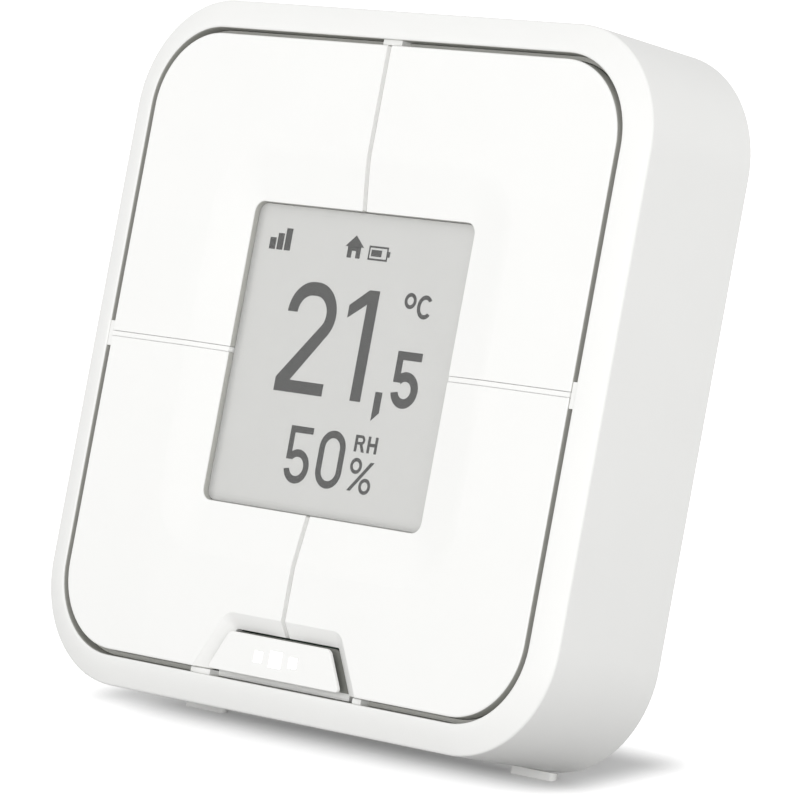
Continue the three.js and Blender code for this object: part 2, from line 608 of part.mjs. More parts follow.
function standLeg() {
  const { halfWidth, length, thickness, barrel, bore, rim } = LEG;
  const half = thickness / 2;
  const blade = sidePrism([[0, -half], [0, half], [-length, half], [-length, -half]], -halfWidth, halfWidth);
  const hollow = box(-halfWidth + rim, halfWidth - rim, -length + rim, -rim, -half - 1, -half + thickness / 2);
  const knuckle = rod(-halfWidth, halfWidth, 0, 0, barrel, 24);
  return cut(blade.add(knuckle), [rod(-halfWidth - 1, halfWidth + 1, 0, 0, bore), hollow]);
}
legGroup.add(place('stand_leg', standLeg(), 'whiteShell'));

// The pad under the leg's tip is cut level with the floor when the leg is open.
const padSlope = Math.tan(legFromVertical);
const padHalf = LEG.thickness / 2;
const padTop = -LEG.length - 0.05;
const padBottom = (depth) => -legReach - depth * padSlope;
legGroup.add(place('leg_pad', sidePrism([
  [padTop, -padHalf], [padTop, padHalf], [padBottom(padHalf), padHalf], [padBottom(-padHalf), -padHalf],
], -LEG.padHalf, LEG.padHalf), 'rubber'));

place('hinge_pin', rod(-PIN.half, PIN.half, LEG.hingeY, LEG.hingeDepth, PIN.radius, 16), 'metal');

// ---------------------------------------------------------------- row frame
// The origin is the middle of the floor area under the whole object.
const group = new THREE.Group();
group.add(panel);
group.updateMatrixWorld(true);
const bounds = new THREE.Box3().setFromObject(group, true);
const middle = bounds.getCenter(new THREE.Vector3());
group.position.set(-middle.x, -middle.y, -bounds.min.z);

export default group;
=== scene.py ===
"""White desk climate display: four paddle keys round a sunken paper display, on a fold-out leg.

Every piece is modelled flat on the face's own axes, in millimetres (x right, y up, z out of the
face, depth counted backwards), then set in its place in the row frame, in metres.
"""

import functools
import json
import logging
import math
from contextlib import contextmanager
from dataclasses import dataclass
from enum import Enum
from typing import Any, Callable, Iterator, Sequence

import bmesh
import bpy
from mathutils import Matrix, Vector

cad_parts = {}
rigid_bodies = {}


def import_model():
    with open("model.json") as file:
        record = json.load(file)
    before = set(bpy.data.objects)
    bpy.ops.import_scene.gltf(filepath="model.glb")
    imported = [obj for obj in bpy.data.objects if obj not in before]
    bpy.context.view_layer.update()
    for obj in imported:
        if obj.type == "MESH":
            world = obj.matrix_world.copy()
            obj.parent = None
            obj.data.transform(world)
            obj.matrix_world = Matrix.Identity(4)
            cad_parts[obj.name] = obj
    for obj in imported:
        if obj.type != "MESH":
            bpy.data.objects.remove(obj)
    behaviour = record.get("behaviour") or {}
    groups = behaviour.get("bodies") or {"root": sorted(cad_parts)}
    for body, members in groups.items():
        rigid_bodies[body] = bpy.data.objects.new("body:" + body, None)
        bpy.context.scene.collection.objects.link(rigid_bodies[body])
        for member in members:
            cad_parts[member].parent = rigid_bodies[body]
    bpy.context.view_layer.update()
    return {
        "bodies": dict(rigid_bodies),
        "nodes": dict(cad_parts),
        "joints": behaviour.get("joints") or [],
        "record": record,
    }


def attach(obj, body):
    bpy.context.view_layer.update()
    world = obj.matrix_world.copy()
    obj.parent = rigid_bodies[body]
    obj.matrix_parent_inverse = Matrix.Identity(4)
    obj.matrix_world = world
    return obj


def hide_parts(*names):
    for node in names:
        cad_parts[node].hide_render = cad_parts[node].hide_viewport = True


LOG = logging.getLogger("climate_display")
MM = 0.001
RIGHT = Vector((1, 0, 0))
Span = tuple[float, float]
Colour = tuple[float, float, float]
Test = Callable[[Any], bool]


class Side(Enum):
    """The four quarters of the face, as the signs of x and y."""

    UPPER_LEFT = (-1, 1)
    UPPER_RIGHT = (1, 1)
    LOWER_LEFT = (-1, -1)
    LOWER_RIGHT = (1, -1)

    @property
    def label(self) -> str:
        """The name that the frame's nodes and bodies use."""
        return self.name.lower()


class Pick(Enum):
    """What an edit-mode tool works on."""

    EDGE = "EDGE"
    FACE = "FACE"


class Axis(Enum):
    """The bench's axes, as places in a vertex's coordinates."""

    UP = 1
    DEPTH = 2


class Join(Enum):
    """How one solid is combined with another."""

    CUT = "DIFFERENCE"
    ADD = "UNION"
    KEEP = "INTERSECT"


# ------------------------------------------------------------------ the face's own axes
@dataclass(frozen=True)
class Face:
    """Where the leaned face stands in the row frame.

    Args:
        origin: The middle of the face, in metres.
        up: Unit vector up along the face.
        back: Unit vector into the object.
    """

    origin: Vector
    up: Vector
    back: Vector

    @classmethod
    def of(cls, frame: dict) -> "Face":
        """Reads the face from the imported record.


        Returns:
            The face, from the door's sliding axis and the key face's mount.
        """
        record = frame["record"]
        joints = {joint["name"]: joint for joint in record["behaviour"]["joints"]}
        back = Vector(joints["battery_door_pull"]["axis"]).normalized()
        up = (-back).cross(RIGHT).normalized()
        mounts = {mount["name"]: mount for mount in record["mounts"]}
        mount_height = 10 * MM
        origin = Vector(mounts["key_face"]["pos_m"]) - up * mount_height
        origin.x = 0
        return cls(origin, up, back)

    @property
    def matrix(self) -> Matrix:
        """From millimetres on the face to metres in the row frame."""
        turned = Matrix((RIGHT, self.up, -self.back)).transposed() * MM
        return Matrix.Translation(self.origin) @ turned.to_4x4()

    def spans(self, graph: "Graph") -> tuple["Wire", "Wire"]:
        """Distances across and up the face from its middle, in millimetres."""
        return graph.along(RIGHT, self.origin), graph.along(self.up, self.origin)


# ------------------------------------------------------------------ modelling bench
def settle() -> None:
    """Leaves nothing selected."""
    for thing in bpy.context.selected_objects:
        thing.select_set(False)


def facing(direction: Sequence[float], height: float | None = None) -> Test:
    """Faces that look along a direction, perhaps only those at one height along it.

    Args:
        direction: Unit vector.
        height: Distance from the origin along the direction, or None for any.

    Returns:
        The test.
    """
    wanted = Vector(direction)

    def test(face: bmesh.types.BMFace) -> bool:
        if face.normal.dot(wanted) < 0.98:
            return False
        return height is None or abs(face.calc_center_median().dot(wanted) - height) < 0.02

    return test


def running(axis: Axis) -> Test:
    """Edges that run along one axis."""
    others = [index for index in range(3) if index != axis.value]

    def test(edge: bmesh.types.BMEdge) -> bool:
        first, second = (vertex.co for vertex in edge.verts)
        return all(abs(first[index] - second[index]) < 1e-4 for index in others)

    return test


def whole(_: Any) -> bool:
    """Every face or edge."""
    return True


def level(height: float) -> Test:
    """Edges that lie at one height z."""
    return lambda edge: all(abs(vertex.co.z - height) < 0.002 for vertex in edge.verts)


class Blank:
    """A mesh on the bench, shaped by edit-mode tools and cutters, in millimetres."""

    def __init__(self, name: str) -> None:
        """Takes over the object that was just added."""
        self.thing = bpy.context.object
        self.thing.name = name
        self.thing.data.name = name

    @classmethod
    def block(cls, name: str, across: Span, up: Span, depth: Span) -> "Blank":
        """A box between two values on each axis.

        Args:
            name: The piece's name.
            across: Left and right.
            up: Bottom and top.
            depth: Front and back, counted into the object.

        Returns:
            The blank.
        """
        settle()
        low = Vector((across[0], up[0], -depth[1]))
        high = Vector((across[1], up[1], -depth[0]))
        bpy.ops.mesh.primitive_cube_add(size=1, location=(low + high) / 2, scale=high - low)
        bpy.ops.object.transform_apply()
        return cls(name)

    @classmethod
    def plate(
        cls, name: str, half: float, corner: float, depth: Span, segments: int = 20,
        middle: Span = (0, 0), half_height: float | None = None,
    ) -> "Blank":
        """A plate with rounded corners.

        Args:
            name: The piece's name.
            half: Half its width.
            corner: Radius of its corners.
            depth: Front and back.
            segments: Steps in each corner.
            middle: Where its middle lies.
            half_height: Half its height, where it isn't square.

        Returns:
            The blank.
        """
        tall = half if half_height is None else half_height
        x, y = middle
        blank = cls.block(name, (x - half, x + half), (y - tall, y + tall), depth)
        blank.bevel(running(Axis.DEPTH), corner, segments)
        return blank

    @classmethod
    def rod(cls, name: str, radius: float, start: Sequence[float], end: Sequence[float],
            sides: int = 48) -> "Blank":
        """A round bar between two points.

        Args:
            name: The piece's name.
            radius: Its radius.
            start: Middle of one end.
            end: Middle of the other.
            sides: Facets round it.

        Returns:
            The blank.
        """
        settle()
        first, last = Vector(start), Vector(end)
        run = last - first
        bpy.ops.mesh.primitive_cylinder_add(
            vertices=sides, radius=radius, depth=run.length, location=(first + last) / 2,
            rotation=run.to_track_quat("Z", "Y").to_euler(),
        )
        bpy.ops.object.transform_apply()
        return cls(name)

    @classmethod
    def flat(cls, name: str, outlines: Sequence["Outline"], depth: Span) -> "Blank":
        """A sheet with closed outlines, the inner ones holes.

        Args:
            name: The piece's name.
            outlines: The closed outlines.
            depth: Front and back.

        Returns:
            The blank, a mesh.
        """
        settle()
        curve = bpy.data.curves.new(name, "CURVE")
        curve.dimensions = "2D"
        curve.fill_mode = "BOTH"
        curve.extrude = (depth[1] - depth[0]) / 2
        for outline in outlines:
            spline = curve.splines.new("POLY")
            spline.points.add(len(outline.points) - 1)
            for point, (x, y) in zip(spline.points, outline.points):
                point.co = (x, y, 0, 1)
            spline.use_cyclic_u = True
        thing = bpy.data.objects.new(name, curve)
        bpy.context.scene.collection.objects.link(thing)
        thing.location.z = -(depth[0] + depth[1]) / 2
        bpy.context.view_layer.objects.active = thing
        thing.select_set(True)
        bpy.ops.object.convert(target="MESH")
        bpy.ops.object.transform_apply()
        blank = cls(name)
        with blank.edit(Pick.FACE, whole):
            bpy.ops.mesh.remove_doubles(threshold=0.0005)
            bpy.ops.mesh.normals_make_consistent(inside=False)
            bpy.ops.mesh.dissolve_limited(angle_limit=math.radians(0.5))
        return blank

    def focus(self) -> None:
        """Makes this the only selected object."""
        settle()
        bpy.context.view_layer.objects.active = self.thing
        self.thing.select_set(True)

    @contextmanager
    def edit(self, pick: Pick, test: Test) -> Iterator[None]:
        """Edit mode with the faces or edges that pass a test selected.

        Args:
            pick: Edges or faces.
            test: Says which of them.
        """
        self.focus()
        bpy.ops.object.mode_set(mode="EDIT")
        bpy.ops.mesh.select_mode(type=pick.value)
        bpy.ops.mesh.select_all(action="DESELECT")
        mesh = bmesh.from_edit_mesh(self.thing.data)
        for item in mesh.edges if pick is Pick.EDGE else mesh.faces:
            if test(item):
                item.select_set(True)
        bmesh.update_edit_mesh(self.thing.data)
        yield
        bpy.ops.object.mode_set(mode="OBJECT")

    def bevel(self, test: Test, width: float, segments: int = 3) -> None:
        """Rounds the edges that pass a test."""
        with self.edit(Pick.EDGE, test):
            bpy.ops.mesh.bevel(offset=width, segments=segments, affect="EDGES")

    def terrace(self, test: Test, steps: Sequence[Span]) -> None:
        """Works a face inwards in steps, as a lathe works a profile.

        Args:
            test: Picks the face.
            steps: How far each step goes in from the edge, and out along the face's normal.
        """
        with self.edit(Pick.FACE, test):
            mesh = bmesh.from_edit_mesh(self.thing.data)
            normal = next(face.normal.copy() for face in mesh.faces if face.select)
            for inward, rise in steps:
                if inward > 0:
                    bpy.ops.mesh.inset(thickness=inward, depth=rise)
                else:
                    bpy.ops.mesh.extrude_region_move(TRANSFORM_OT_translate={"value": normal * rise})

    def join(self, how: Join, *others: "Blank") -> "Blank":
        """Combines this solid with others, which are used up.

        Args:
            how: Cut, add or keep.
            others: The other solids.

        Returns:
            This blank.
        """
        for other in others:
            modifier = self.thing.modifiers.new(how.name, "BOOLEAN")
            modifier.operation = how.value
            modifier.solver = "EXACT"
            modifier.object = other.thing
            self.apply(modifier)
            bpy.data.objects.remove(other.thing)
        return self

    def apply(self, modifier: bpy.types.Modifier) -> None:
        """Makes a modifier's result the mesh."""
        self.focus()
        bpy.ops.object.modifier_apply(modifier=modifier.name)

    def soften(self, width: float, segments: int = 2, angle: float = 35) -> "Blank":
        """Rounds every edge sharper than an angle.

        Args:
            width: Width of the rounding.
            segments: Steps in it.
            angle: In degrees.

        Returns:
            This blank.
        """
        modifier = self.thing.modifiers.new("soften", "BEVEL")
        modifier.width = width
        modifier.segments = segments
        modifier.limit_method = "ANGLE"
        modifier.angle_limit = math.radians(angle)
        modifier.miter_outer = "MITER_ARC"
        self.apply(modifier)
        return self

    def tidy(self) -> "Blank":
        """Merges what the cutters left in one plane into whole faces."""
        with self.edit(Pick.FACE, whole):
            bpy.ops.mesh.remove_doubles(threshold=0.001)
            bpy.ops.mesh.dissolve_limited(angle_limit=math.radians(0.3))
        return self

    def copy(self, name: str) -> "Blank":
        """Another blank with its own mesh."""
        self.focus()
        bpy.ops.object.duplicate(linked=False)
        return Blank(name)

    def move(self, x: float, y: float, z: float = 0) -> "Blank":
        """Slides the whole blank."""
        with self.edit(Pick.FACE, whole):
            bpy.ops.transform.translate(value=(x, y, z))
        return self

    def set_in_place(self, place: Matrix) -> bpy.types.Object:
        """Shades the piece and takes it from the bench to its place.

        Args:
            place: From bench millimetres to the row frame's metres.

        Returns:
            The finished object, at the origin, with its place in its mesh.
        """
        self.focus()
        bpy.ops.object.shade_smooth_by_angle(angle=math.radians(32))
        modifier = self.thing.modifiers.new("flats", "WEIGHTED_NORMAL")
        modifier.keep_sharp = True
        self.apply(modifier)
        self.thing.matrix_world = place
        bpy.ops.object.transform_apply()
        return self.thing


class Outline:
    """A closed outline on the face, from corners and arcs."""

    def __init__(self, *corners: Span) -> None:
        """Starts with some corners."""
        self.points: list[Span] = list(corners)

    def to(self, *corners: Span) -> "Outline":
        """Adds corners."""
        self.points.extend(corners)
        return self

    def mirrored(self) -> "Outline":
        """Adds the same points on the left, in backward order."""
        return self.to(*[(-x, y) for x, y in reversed(self.points)])

    @classmethod
    def box(cls, left: float, foot: float, right: float, top: float) -> "Outline":
        """A rectangle."""
        return cls((left, foot), (right, foot), (right, top), (left, top))

    def arc(self, middle: Span, radius: float, start: float, end: float,
            radius_y: float | None = None) -> "Outline":
        """Adds an arc, round or oval.

        Args:
            middle: Its centre.
            radius: Its radius, or half its width.
            start: First angle in degrees.
            end: Last angle, past it for the other way round.
            radius_y: Half its height, where it is oval.

        Returns:
            This outline.
        """
        tall = radius if radius_y is None else radius_y
        steps = max(2, round(abs(end - start) / 6))
        for step in range(steps + 1):
            angle = math.radians(start + (end - start) * step / steps)
            self.points.append((middle[0] + radius * math.cos(angle), middle[1] + tall * math.sin(angle)))
        return self


# ------------------------------------------------------------------ shader maths
class Wire:
    """A node's output, on which arithmetic adds Math nodes."""

    def __init__(self, graph: "Graph", socket: bpy.types.NodeSocket) -> None:
        """Wraps one output socket."""
        self.graph = graph
        self.socket = socket

    def _math(self, operation: str, first: Any, second: Any = 0.0) -> "Wire":
        """One Math node."""
        return self.graph.wire("ShaderNodeMath", {"operation": operation}, {0: first, 1: second})

    def __add__(self, other: Any) -> "Wire":
        """self + other."""
        return self._math("ADD", self, other)

    __radd__ = __add__

    def __mul__(self, other: Any) -> "Wire":
        """self * other."""
        return self._math("MULTIPLY", self, other)

    __rmul__ = __mul__

    def __sub__(self, other: Any) -> "Wire":
        """self - other."""
        return self._math("SUBTRACT", self, other)

    def __rsub__(self, other: Any) -> "Wire":
        """other - self."""
        return self._math("SUBTRACT", other, self)

    def size(self) -> "Wire":
        """The value without its sign."""
        return self._math("ABSOLUTE", self)

    def root(self) -> "Wire":
        """The square root."""
        return self._math("SQRT", self)

    def above(self, floor: Any) -> "Wire":
        """The larger of the value and a floor."""
        return self._math("MAXIMUM", self, floor)

    def rise(self, low: float, high: float) -> "Wire":
        """0 below low, 1 above high, smooth between."""
        return self.graph.wire(
            "ShaderNodeMapRange", {"interpolation_type": "SMOOTHSTEP"},
            {"Value": self, "From Min": low, "From Max": high},
        )


class Graph:
    """The node tree of a material or of the world."""

    def __init__(self, name: str, world: bool = False) -> None:
        """Starts an empty tree."""
        kind = bpy.data.worlds if world else bpy.data.materials
        self.owner = kind.new(name)
        self.owner.use_nodes = True
        self.tree = self.owner.node_tree
        self.tree.nodes.clear()
        self.place = self.wire("ShaderNodeTexCoord", {}, {}, "Generated" if world else "Object")

    def node(self, kind: str, settings: dict[str, Any], values: dict[Any, Any]) -> bpy.types.Node:
        """Makes any node.

        Args:
            kind: Its type.
            settings: What is set before its sockets, such as a Math node's operation.
            values: Its sockets' values or wires.

        Returns:
            The node.
        """
        node = self.tree.nodes.new(kind)
        for key, value in settings.items():
            setattr(node, key, value)
        for key, value in values.items():
            if isinstance(value, Wire):
                self.tree.links.new(value.socket, node.inputs[key])
            else:
                node.inputs[key].default_value = value
        return node

    def wire(self, kind: str, settings: dict[str, Any], values: dict[Any, Any],
             output: Any = 0) -> Wire:
        """Makes a node and returns one of its outputs."""
        return Wire(self, self.node(kind, settings, values).outputs[output])

    def noise(self, size: float, detail: float = 2.0) -> Wire:
        """Soft random variation with spots of about one size, in millimetres."""
        return self.wire(
            "ShaderNodeTexNoise", {}, {"Vector": self.place, "Scale": 1 / (size * MM), "Detail": detail},
        )

    def mix(self, share: Any, first: Any, second: Any) -> Wire:
        """From one colour to another."""
        full = [(*value, 1) if isinstance(value, tuple) else value for value in (first, second)]
        return self.wire(
            "ShaderNodeMix", {"data_type": "RGBA"}, {0: share, 6: full[0], 7: full[1]}, 2,
        )

    def along(self, direction: Vector, origin: Vector) -> Wire:
        """Distance in millimetres along a direction from a point."""
        return self.wire(
            "ShaderNodeVectorMath", {"operation": "DOT_PRODUCT"},
            {0: self.place, 1: direction / MM}, "Value",
        ) - origin.dot(direction) / MM

    def length(self, x: Wire, y: Wire) -> Wire:
        """The length of a flat vector."""
        return (x * x + y * y).root()

    def bump(self, height: Wire, depth: float, strength: float = 1.0) -> Wire:
        """A bumped normal from a height, depth in millimetres."""
        return self.wire(
            "ShaderNodeBump", {}, {"Height": height, "Distance": depth * MM, "Strength": strength},
        )

    def close(self, values: dict[str, Any]) -> bpy.types.Material:
        """Ends the graph in one Principled shader.

        Args:
            values: Its sockets' values or wires.

        Returns:
            The material.
        """
        full = {key: (*value, 1) if isinstance(value, tuple) else value for key, value in values.items()}
        shader = self.wire("ShaderNodeBsdfPrincipled", {}, full)
        self.node("ShaderNodeOutputMaterial", {}, {"Surface": shader})
        return self.owner


def tint(colour: Colour, factor: float) -> Colour:
    """A colour, darker or lighter."""
    return tuple(value * factor for value in colour)


@dataclass(frozen=True)
class Finish:
    """A surface with soft spots in its colour, smears in its gloss and pores in its height.

    Args:
        name: Of the material.
        deep: Linear colour of one sort of spots.
        pale: Of the other.
        gloss: Lowest and highest roughness.
        spots: Size in millimetres and detail of the colour's spots.
        smears: The same for the roughness.
        pores: The same for the height.
        grain: Depth in millimetres and strength of the pores, or None for a smooth surface.
        fixed: Sockets that are the same all over, with their values.
    """

    name: str
    deep: Colour
    pale: Colour
    gloss: Span
    spots: Span = (9, 3)
    smears: Span = (2.5, 2)
    pores: Span = (0.16, 3)
    grain: Span | None = (0.002, 0.6)
    fixed: tuple[tuple[str, float], ...] = ()

    def colours(self, graph: Graph) -> Wire:
        """The base colour."""
        return graph.mix(graph.noise(*self.spots), self.deep, self.pale)

    def sockets(self, graph: Graph) -> dict[str, Any]:
        """What the shader's sockets get."""
        low, high = self.gloss
        values = {
            "Base Color": self.colours(graph),
            "Roughness": low + graph.noise(*self.smears) * (high - low),
            **dict(self.fixed),
        }
        if self.grain:
            values["Normal"] = graph.bump(graph.noise(*self.pores), *self.grain)
        return values

    @functools.cached_property
    def material(self) -> bpy.types.Material:
        """The material, built once."""
        graph = Graph(self.name)
        return graph.close(self.sockets(graph))


def moulding(name: str, colour: Colour, roughness: float, mottle: float = 0.012,
             kind: type[Finish] = Finish, **more: Any) -> Finish:
    """A moulded plastic with a fine spark-eroded grain.

    Args:
        name: Of the material.
        colour: Linear colour.
        roughness: Its middle value.
        mottle: How much the colour drifts over the surface.
        kind: The class of the finish.
        more: Its other fields.

    Returns:
        The finish.
    """
    deep = tint(colour, 1 - 2 * mottle)
    gloss = (roughness - 0.04, roughness + 0.04)
    return kind(name, deep, colour, gloss, fixed=(("IOR", 1.46),), **more)


@dataclass(frozen=True)
class GapMoulding(Finish):
    """A plastic whose colour has painted shade on the walls of the gap between the keys and the rim.

    Args:
        face: Where the face stands.
        half: Half the side of the rounded square whose wall lines the gap.
        corner: That square's corner radius.
        inside: True where the plastic lies inside that wall.
        start: Depth at which the painted shade begins on that wall, in millimetres.
        well_half: Half the display opening's side, or 0 where there is none.
        well_corner: The opening's corner radius.
        well_start: Depth at which the painted shade begins on the opening's wall.
        shade: Colour of the painted shade on the walls.
    """

    face: Any = None
    half: float = 33.24
    corner: float = 8.4
    inside: bool = True
    start: float = 0.1
    well_half: float = 0.0
    well_corner: float = 1.2
    well_start: float = 0.82
    shade: Colour = (0.45, 0.45, 0.42)

    def reach(self, graph: Graph, half: float, corner: float) -> Wire:
        """Distance outside a rounded square's outline.

        Args:
            graph: The material's nodes.
            half: Half its side.
            corner: Its corner radius.

        Returns:
            The distance in millimetres, below zero inside.
        """
        x, y = (distance.size() - (half - corner) for distance in self.face.spans(graph))
        return graph.length(x.above(0), y.above(0)) - corner

    def colours(self, graph: Graph) -> Wire:
        """Base colour, with painted shade on the gap's wall and on the wall round the display."""
        # Painted shade: darker on the walls deep in the gap and round the display's opening.
        depth = graph.along(self.face.back, self.face.origin)
        reach = self.reach(graph, self.half, self.corner)
        wall = reach.rise(-0.12, -0.05) if self.inside else 1 - reach.rise(0.03, 0.1)
        dark = wall * depth.rise(self.start, self.start + 0.06)
        if self.well_half:
            inner = self.reach(graph, self.well_half, self.well_corner)
            well = (1 - inner.rise(0.06, 0.12)) * depth.rise(self.well_start, self.well_start + 0.1)
            dark = dark + well * (1 - dark)
        return graph.mix(dark, super().colours(graph), self.shade)


@dataclass(frozen=True)
class PaperFilm(Finish):
    """A reflective paper display: light grey flecks over a slow drift.

    Args:
        face: Where the face stands, or None for a film without shaded edges.
        half: Half the shaded film's side.
    """

    face: Any = None
    half: float = 15.9

    def shadow(self, graph: Graph) -> Wire:
        """How dark the film is along its left, lower and upper edges."""
        x, y = self.face.spans(graph)
        left = 1 - (x + self.half).rise(-0.2, 1.5)
        foot = 1 - (y + self.half).rise(0.2, 0.9)
        head = 1 - (self.half - y).rise(0.0, 0.8)
        inset = self.half - y.size()
        line = inset.rise(0.72, 0.8) * (1 - inset.rise(0.84, 0.92))
        return left * 0.42 + foot * 0.2 + head * 0.12 + line * 0.07

    def colours(self, graph: Graph) -> Wire:
        """Flecks and drift, with shaded edges where the face is known."""
        flecks = graph.noise(*self.pores).rise(0.3, 0.7)
        paper = graph.mix(flecks * 0.5 + graph.noise(*self.spots) * 0.5, self.deep, self.pale)
        return graph.mix(self.shadow(graph), paper, (0.1, 0.1, 0.1)) if self.face else paper


@dataclass(frozen=True)
class GlowGuide(Finish):
    """Milky light guide whose lit ends glow white."""

    def sockets(self, graph: Graph) -> dict[str, Any]:
        """Adds clouds in the glow."""
        glow = graph.mix(graph.noise(*self.spots), (0.92, 0.93, 0.94), (1, 1, 1))
        return {**super().sockets(graph), "Emission Color": glow}


@dataclass(frozen=True)
class Rubber(Finish):
    """Soft pale rubber with dust in its pores."""

    def colours(self, graph: Graph) -> Wire:
        """Patches of dust."""
        dust = graph.noise(*self.spots).rise(0.45, 0.75)
        return graph.mix(dust * 0.4, self.deep, self.pale)


@dataclass(frozen=True)
class CircuitBoard(Finish):
    """Green solder mask over copper tracks."""

    def sockets(self, graph: Graph) -> dict[str, Any]:
        """Tracks in patches, paler and a little raised."""
        black = (0, 0, 0, 1)
        tracks = graph.wire("ShaderNodeTexBrick", {}, {
            "Vector": graph.place, "Scale": 1 / (1.4 * MM), "Mortar Size": 0.12, "Mortar Smooth": 0.2,
            "Color1": black, "Color2": black, "Mortar": (1, 1, 1, 1),
        }, "Fac")
        copper = tracks * graph.noise(*self.spots).rise(0.48, 0.52)
        return {
            **super().sockets(graph),
            "Base Color": graph.mix(copper, self.deep, self.pale),
            "Normal": graph.bump(copper, 0.03, 0.5),
        }


@dataclass(frozen=True)
class CellSleeve(Finish):
    """The printed sleeve of a dry cell, with plain bands and no lettering."""

    def sockets(self, graph: Graph) -> dict[str, Any]:
        """One pale band, and bare steel at both ends."""
        x = graph.along(RIGHT, Vector())
        band = x.rise(9.8, 10) * (1 - x.rise(17.8, 18))
        steel = x.size().rise(21.7, 21.75)
        sleeve = graph.mix(band, self.deep, self.pale)
        return {
            **super().sockets(graph),
            "Base Color": graph.mix(steel, sleeve, (0.6, 0.6, 0.6)),
            "Metallic": steel * 0.9,
        }


SHELL_COLOUR, SHELL_ROUGHNESS = (0.83, 0.83, 0.815), 0.46
KEY_COLOUR, KEY_ROUGHNESS, KEY_GRAIN = (0.86, 0.86, 0.845), 0.42, (0.0012, 0.6)
FINE = (0.09, 1)
PAPER_LOOK = {
    "deep": (0.574175, 0.574175, 0.5597), "pale": (0.6069, 0.6069, 0.5916), "gloss": (0.55, 0.65),
    "spots": (12, 2), "smears": FINE, "pores": FINE, "grain": (0.001, 0.3),
}
WHITE_SHELL = moulding("shell_white", SHELL_COLOUR, SHELL_ROUGHNESS)
WHITE_KEY = moulding("key_white", KEY_COLOUR, KEY_ROUGHNESS, grain=KEY_GRAIN)
WHITE_INNER = moulding("inner_white", (0.72, 0.72, 0.7), 0.55)
DARK_INNER = moulding("inner_dark", (0.2, 0.203, 0.185), 0.6)
GAP_FLOOR = moulding("gap_floor", (0.5, 0.5, 0.47), 0.6)
BLACK = moulding("black_plastic", (0.025, 0.025, 0.025), 0.5, 0.08)
FOAM = moulding("gasket_foam", (0.45, 0.45, 0.44), 0.85, 0.04, pores=(0.3, 3), grain=(0.03, 0.6))
AMBER = moulding("amber_film", (0.5, 0.22, 0.04), 0.32, 0.05)
PAPER = PaperFilm("paper_film", **PAPER_LOOK)
INK = Finish("display_ink", (0.022, 0.022, 0.021), (0.0352, 0.0352, 0.0336), (0.6, 0.7), spots=FINE,
             smears=FINE, pores=FINE, grain=(0.001, 0.2))
COAT = Finish("clear_coat", (0.8, 0.81, 0.8), (0.86, 0.86, 0.85), (0.14, 0.24), spots=(6, 3),
              smears=(6, 3), grain=None, fixed=(("Alpha", 0.05),))
GLOW = GlowGuide("glow_guide", (0.9, 0.9, 0.9), (0.97, 0.97, 0.96), (0.3, 0.4), spots=(0.5, 2),
                 smears=(0.5, 2), grain=None, fixed=(("Emission Strength", 0.9),))
METAL = Finish("nickel_plating", (0.4928, 0.5016, 0.5104), (0.56, 0.57, 0.58), (0.24, 0.44),
               spots=(3, 2), smears=(0.2, 4), pores=(0.2, 4), grain=(0.002, 0.4), fixed=(("Metallic", 1.0),))
RUBBER = Rubber("soft_rubber", (0.76, 0.76, 0.745), (0.8208, 0.8208, 0.8046), (0.82, 0.92), spots=(4, 3),
                smears=(0.25, 4), pores=(0.25, 4), grain=(0.02, 0.6))
BOARD = CircuitBoard("solder_mask", (0.012, 0.035, 0.022), (0.02, 0.06, 0.035), (0.35, 0.5),
                     spots=(5, 1), smears=(1, 2), grain=None)
SLEEVE = CellSleeve("cell_sleeve", (0.05, 0.12, 0.16), (0.5, 0.52, 0.5), (0.28, 0.43),
                    smears=(2, 3), pores=(0.4, 2), grain=(0.004, 0.4))


# ------------------------------------------------------------------ sub-assemblies
@dataclass
class Assembly:
    """A sub-assembly, modelled flat on the face's own axes."""

    face: Face

    @property
    def place(self) -> Matrix:
        """From the bench to the row frame."""
        return self.face.matrix

    def fit(self, blank: Blank, finish: Finish, body: str, slot: str | None = None,
            stands_for: Sequence[str] = ()) -> None:
        """Sets a blank in place, dresses it and ties it to its body.

        Args:
            blank: The shaped piece.
            finish: What it is made of.
            body: The body that it moves with.
            slot: The record's slot of its finish; not used.
            stands_for: The frame's nodes that it replaces.
        """
        piece = blank.set_in_place(self.place)
        piece.data.materials.clear()
        piece.data.materials.append(finish.material)
        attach(piece, body)
        if stands_for:
            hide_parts(*stands_for)
        LOG.info("%s: %d faces on %s", piece.name, len(piece.data.polygons), body)


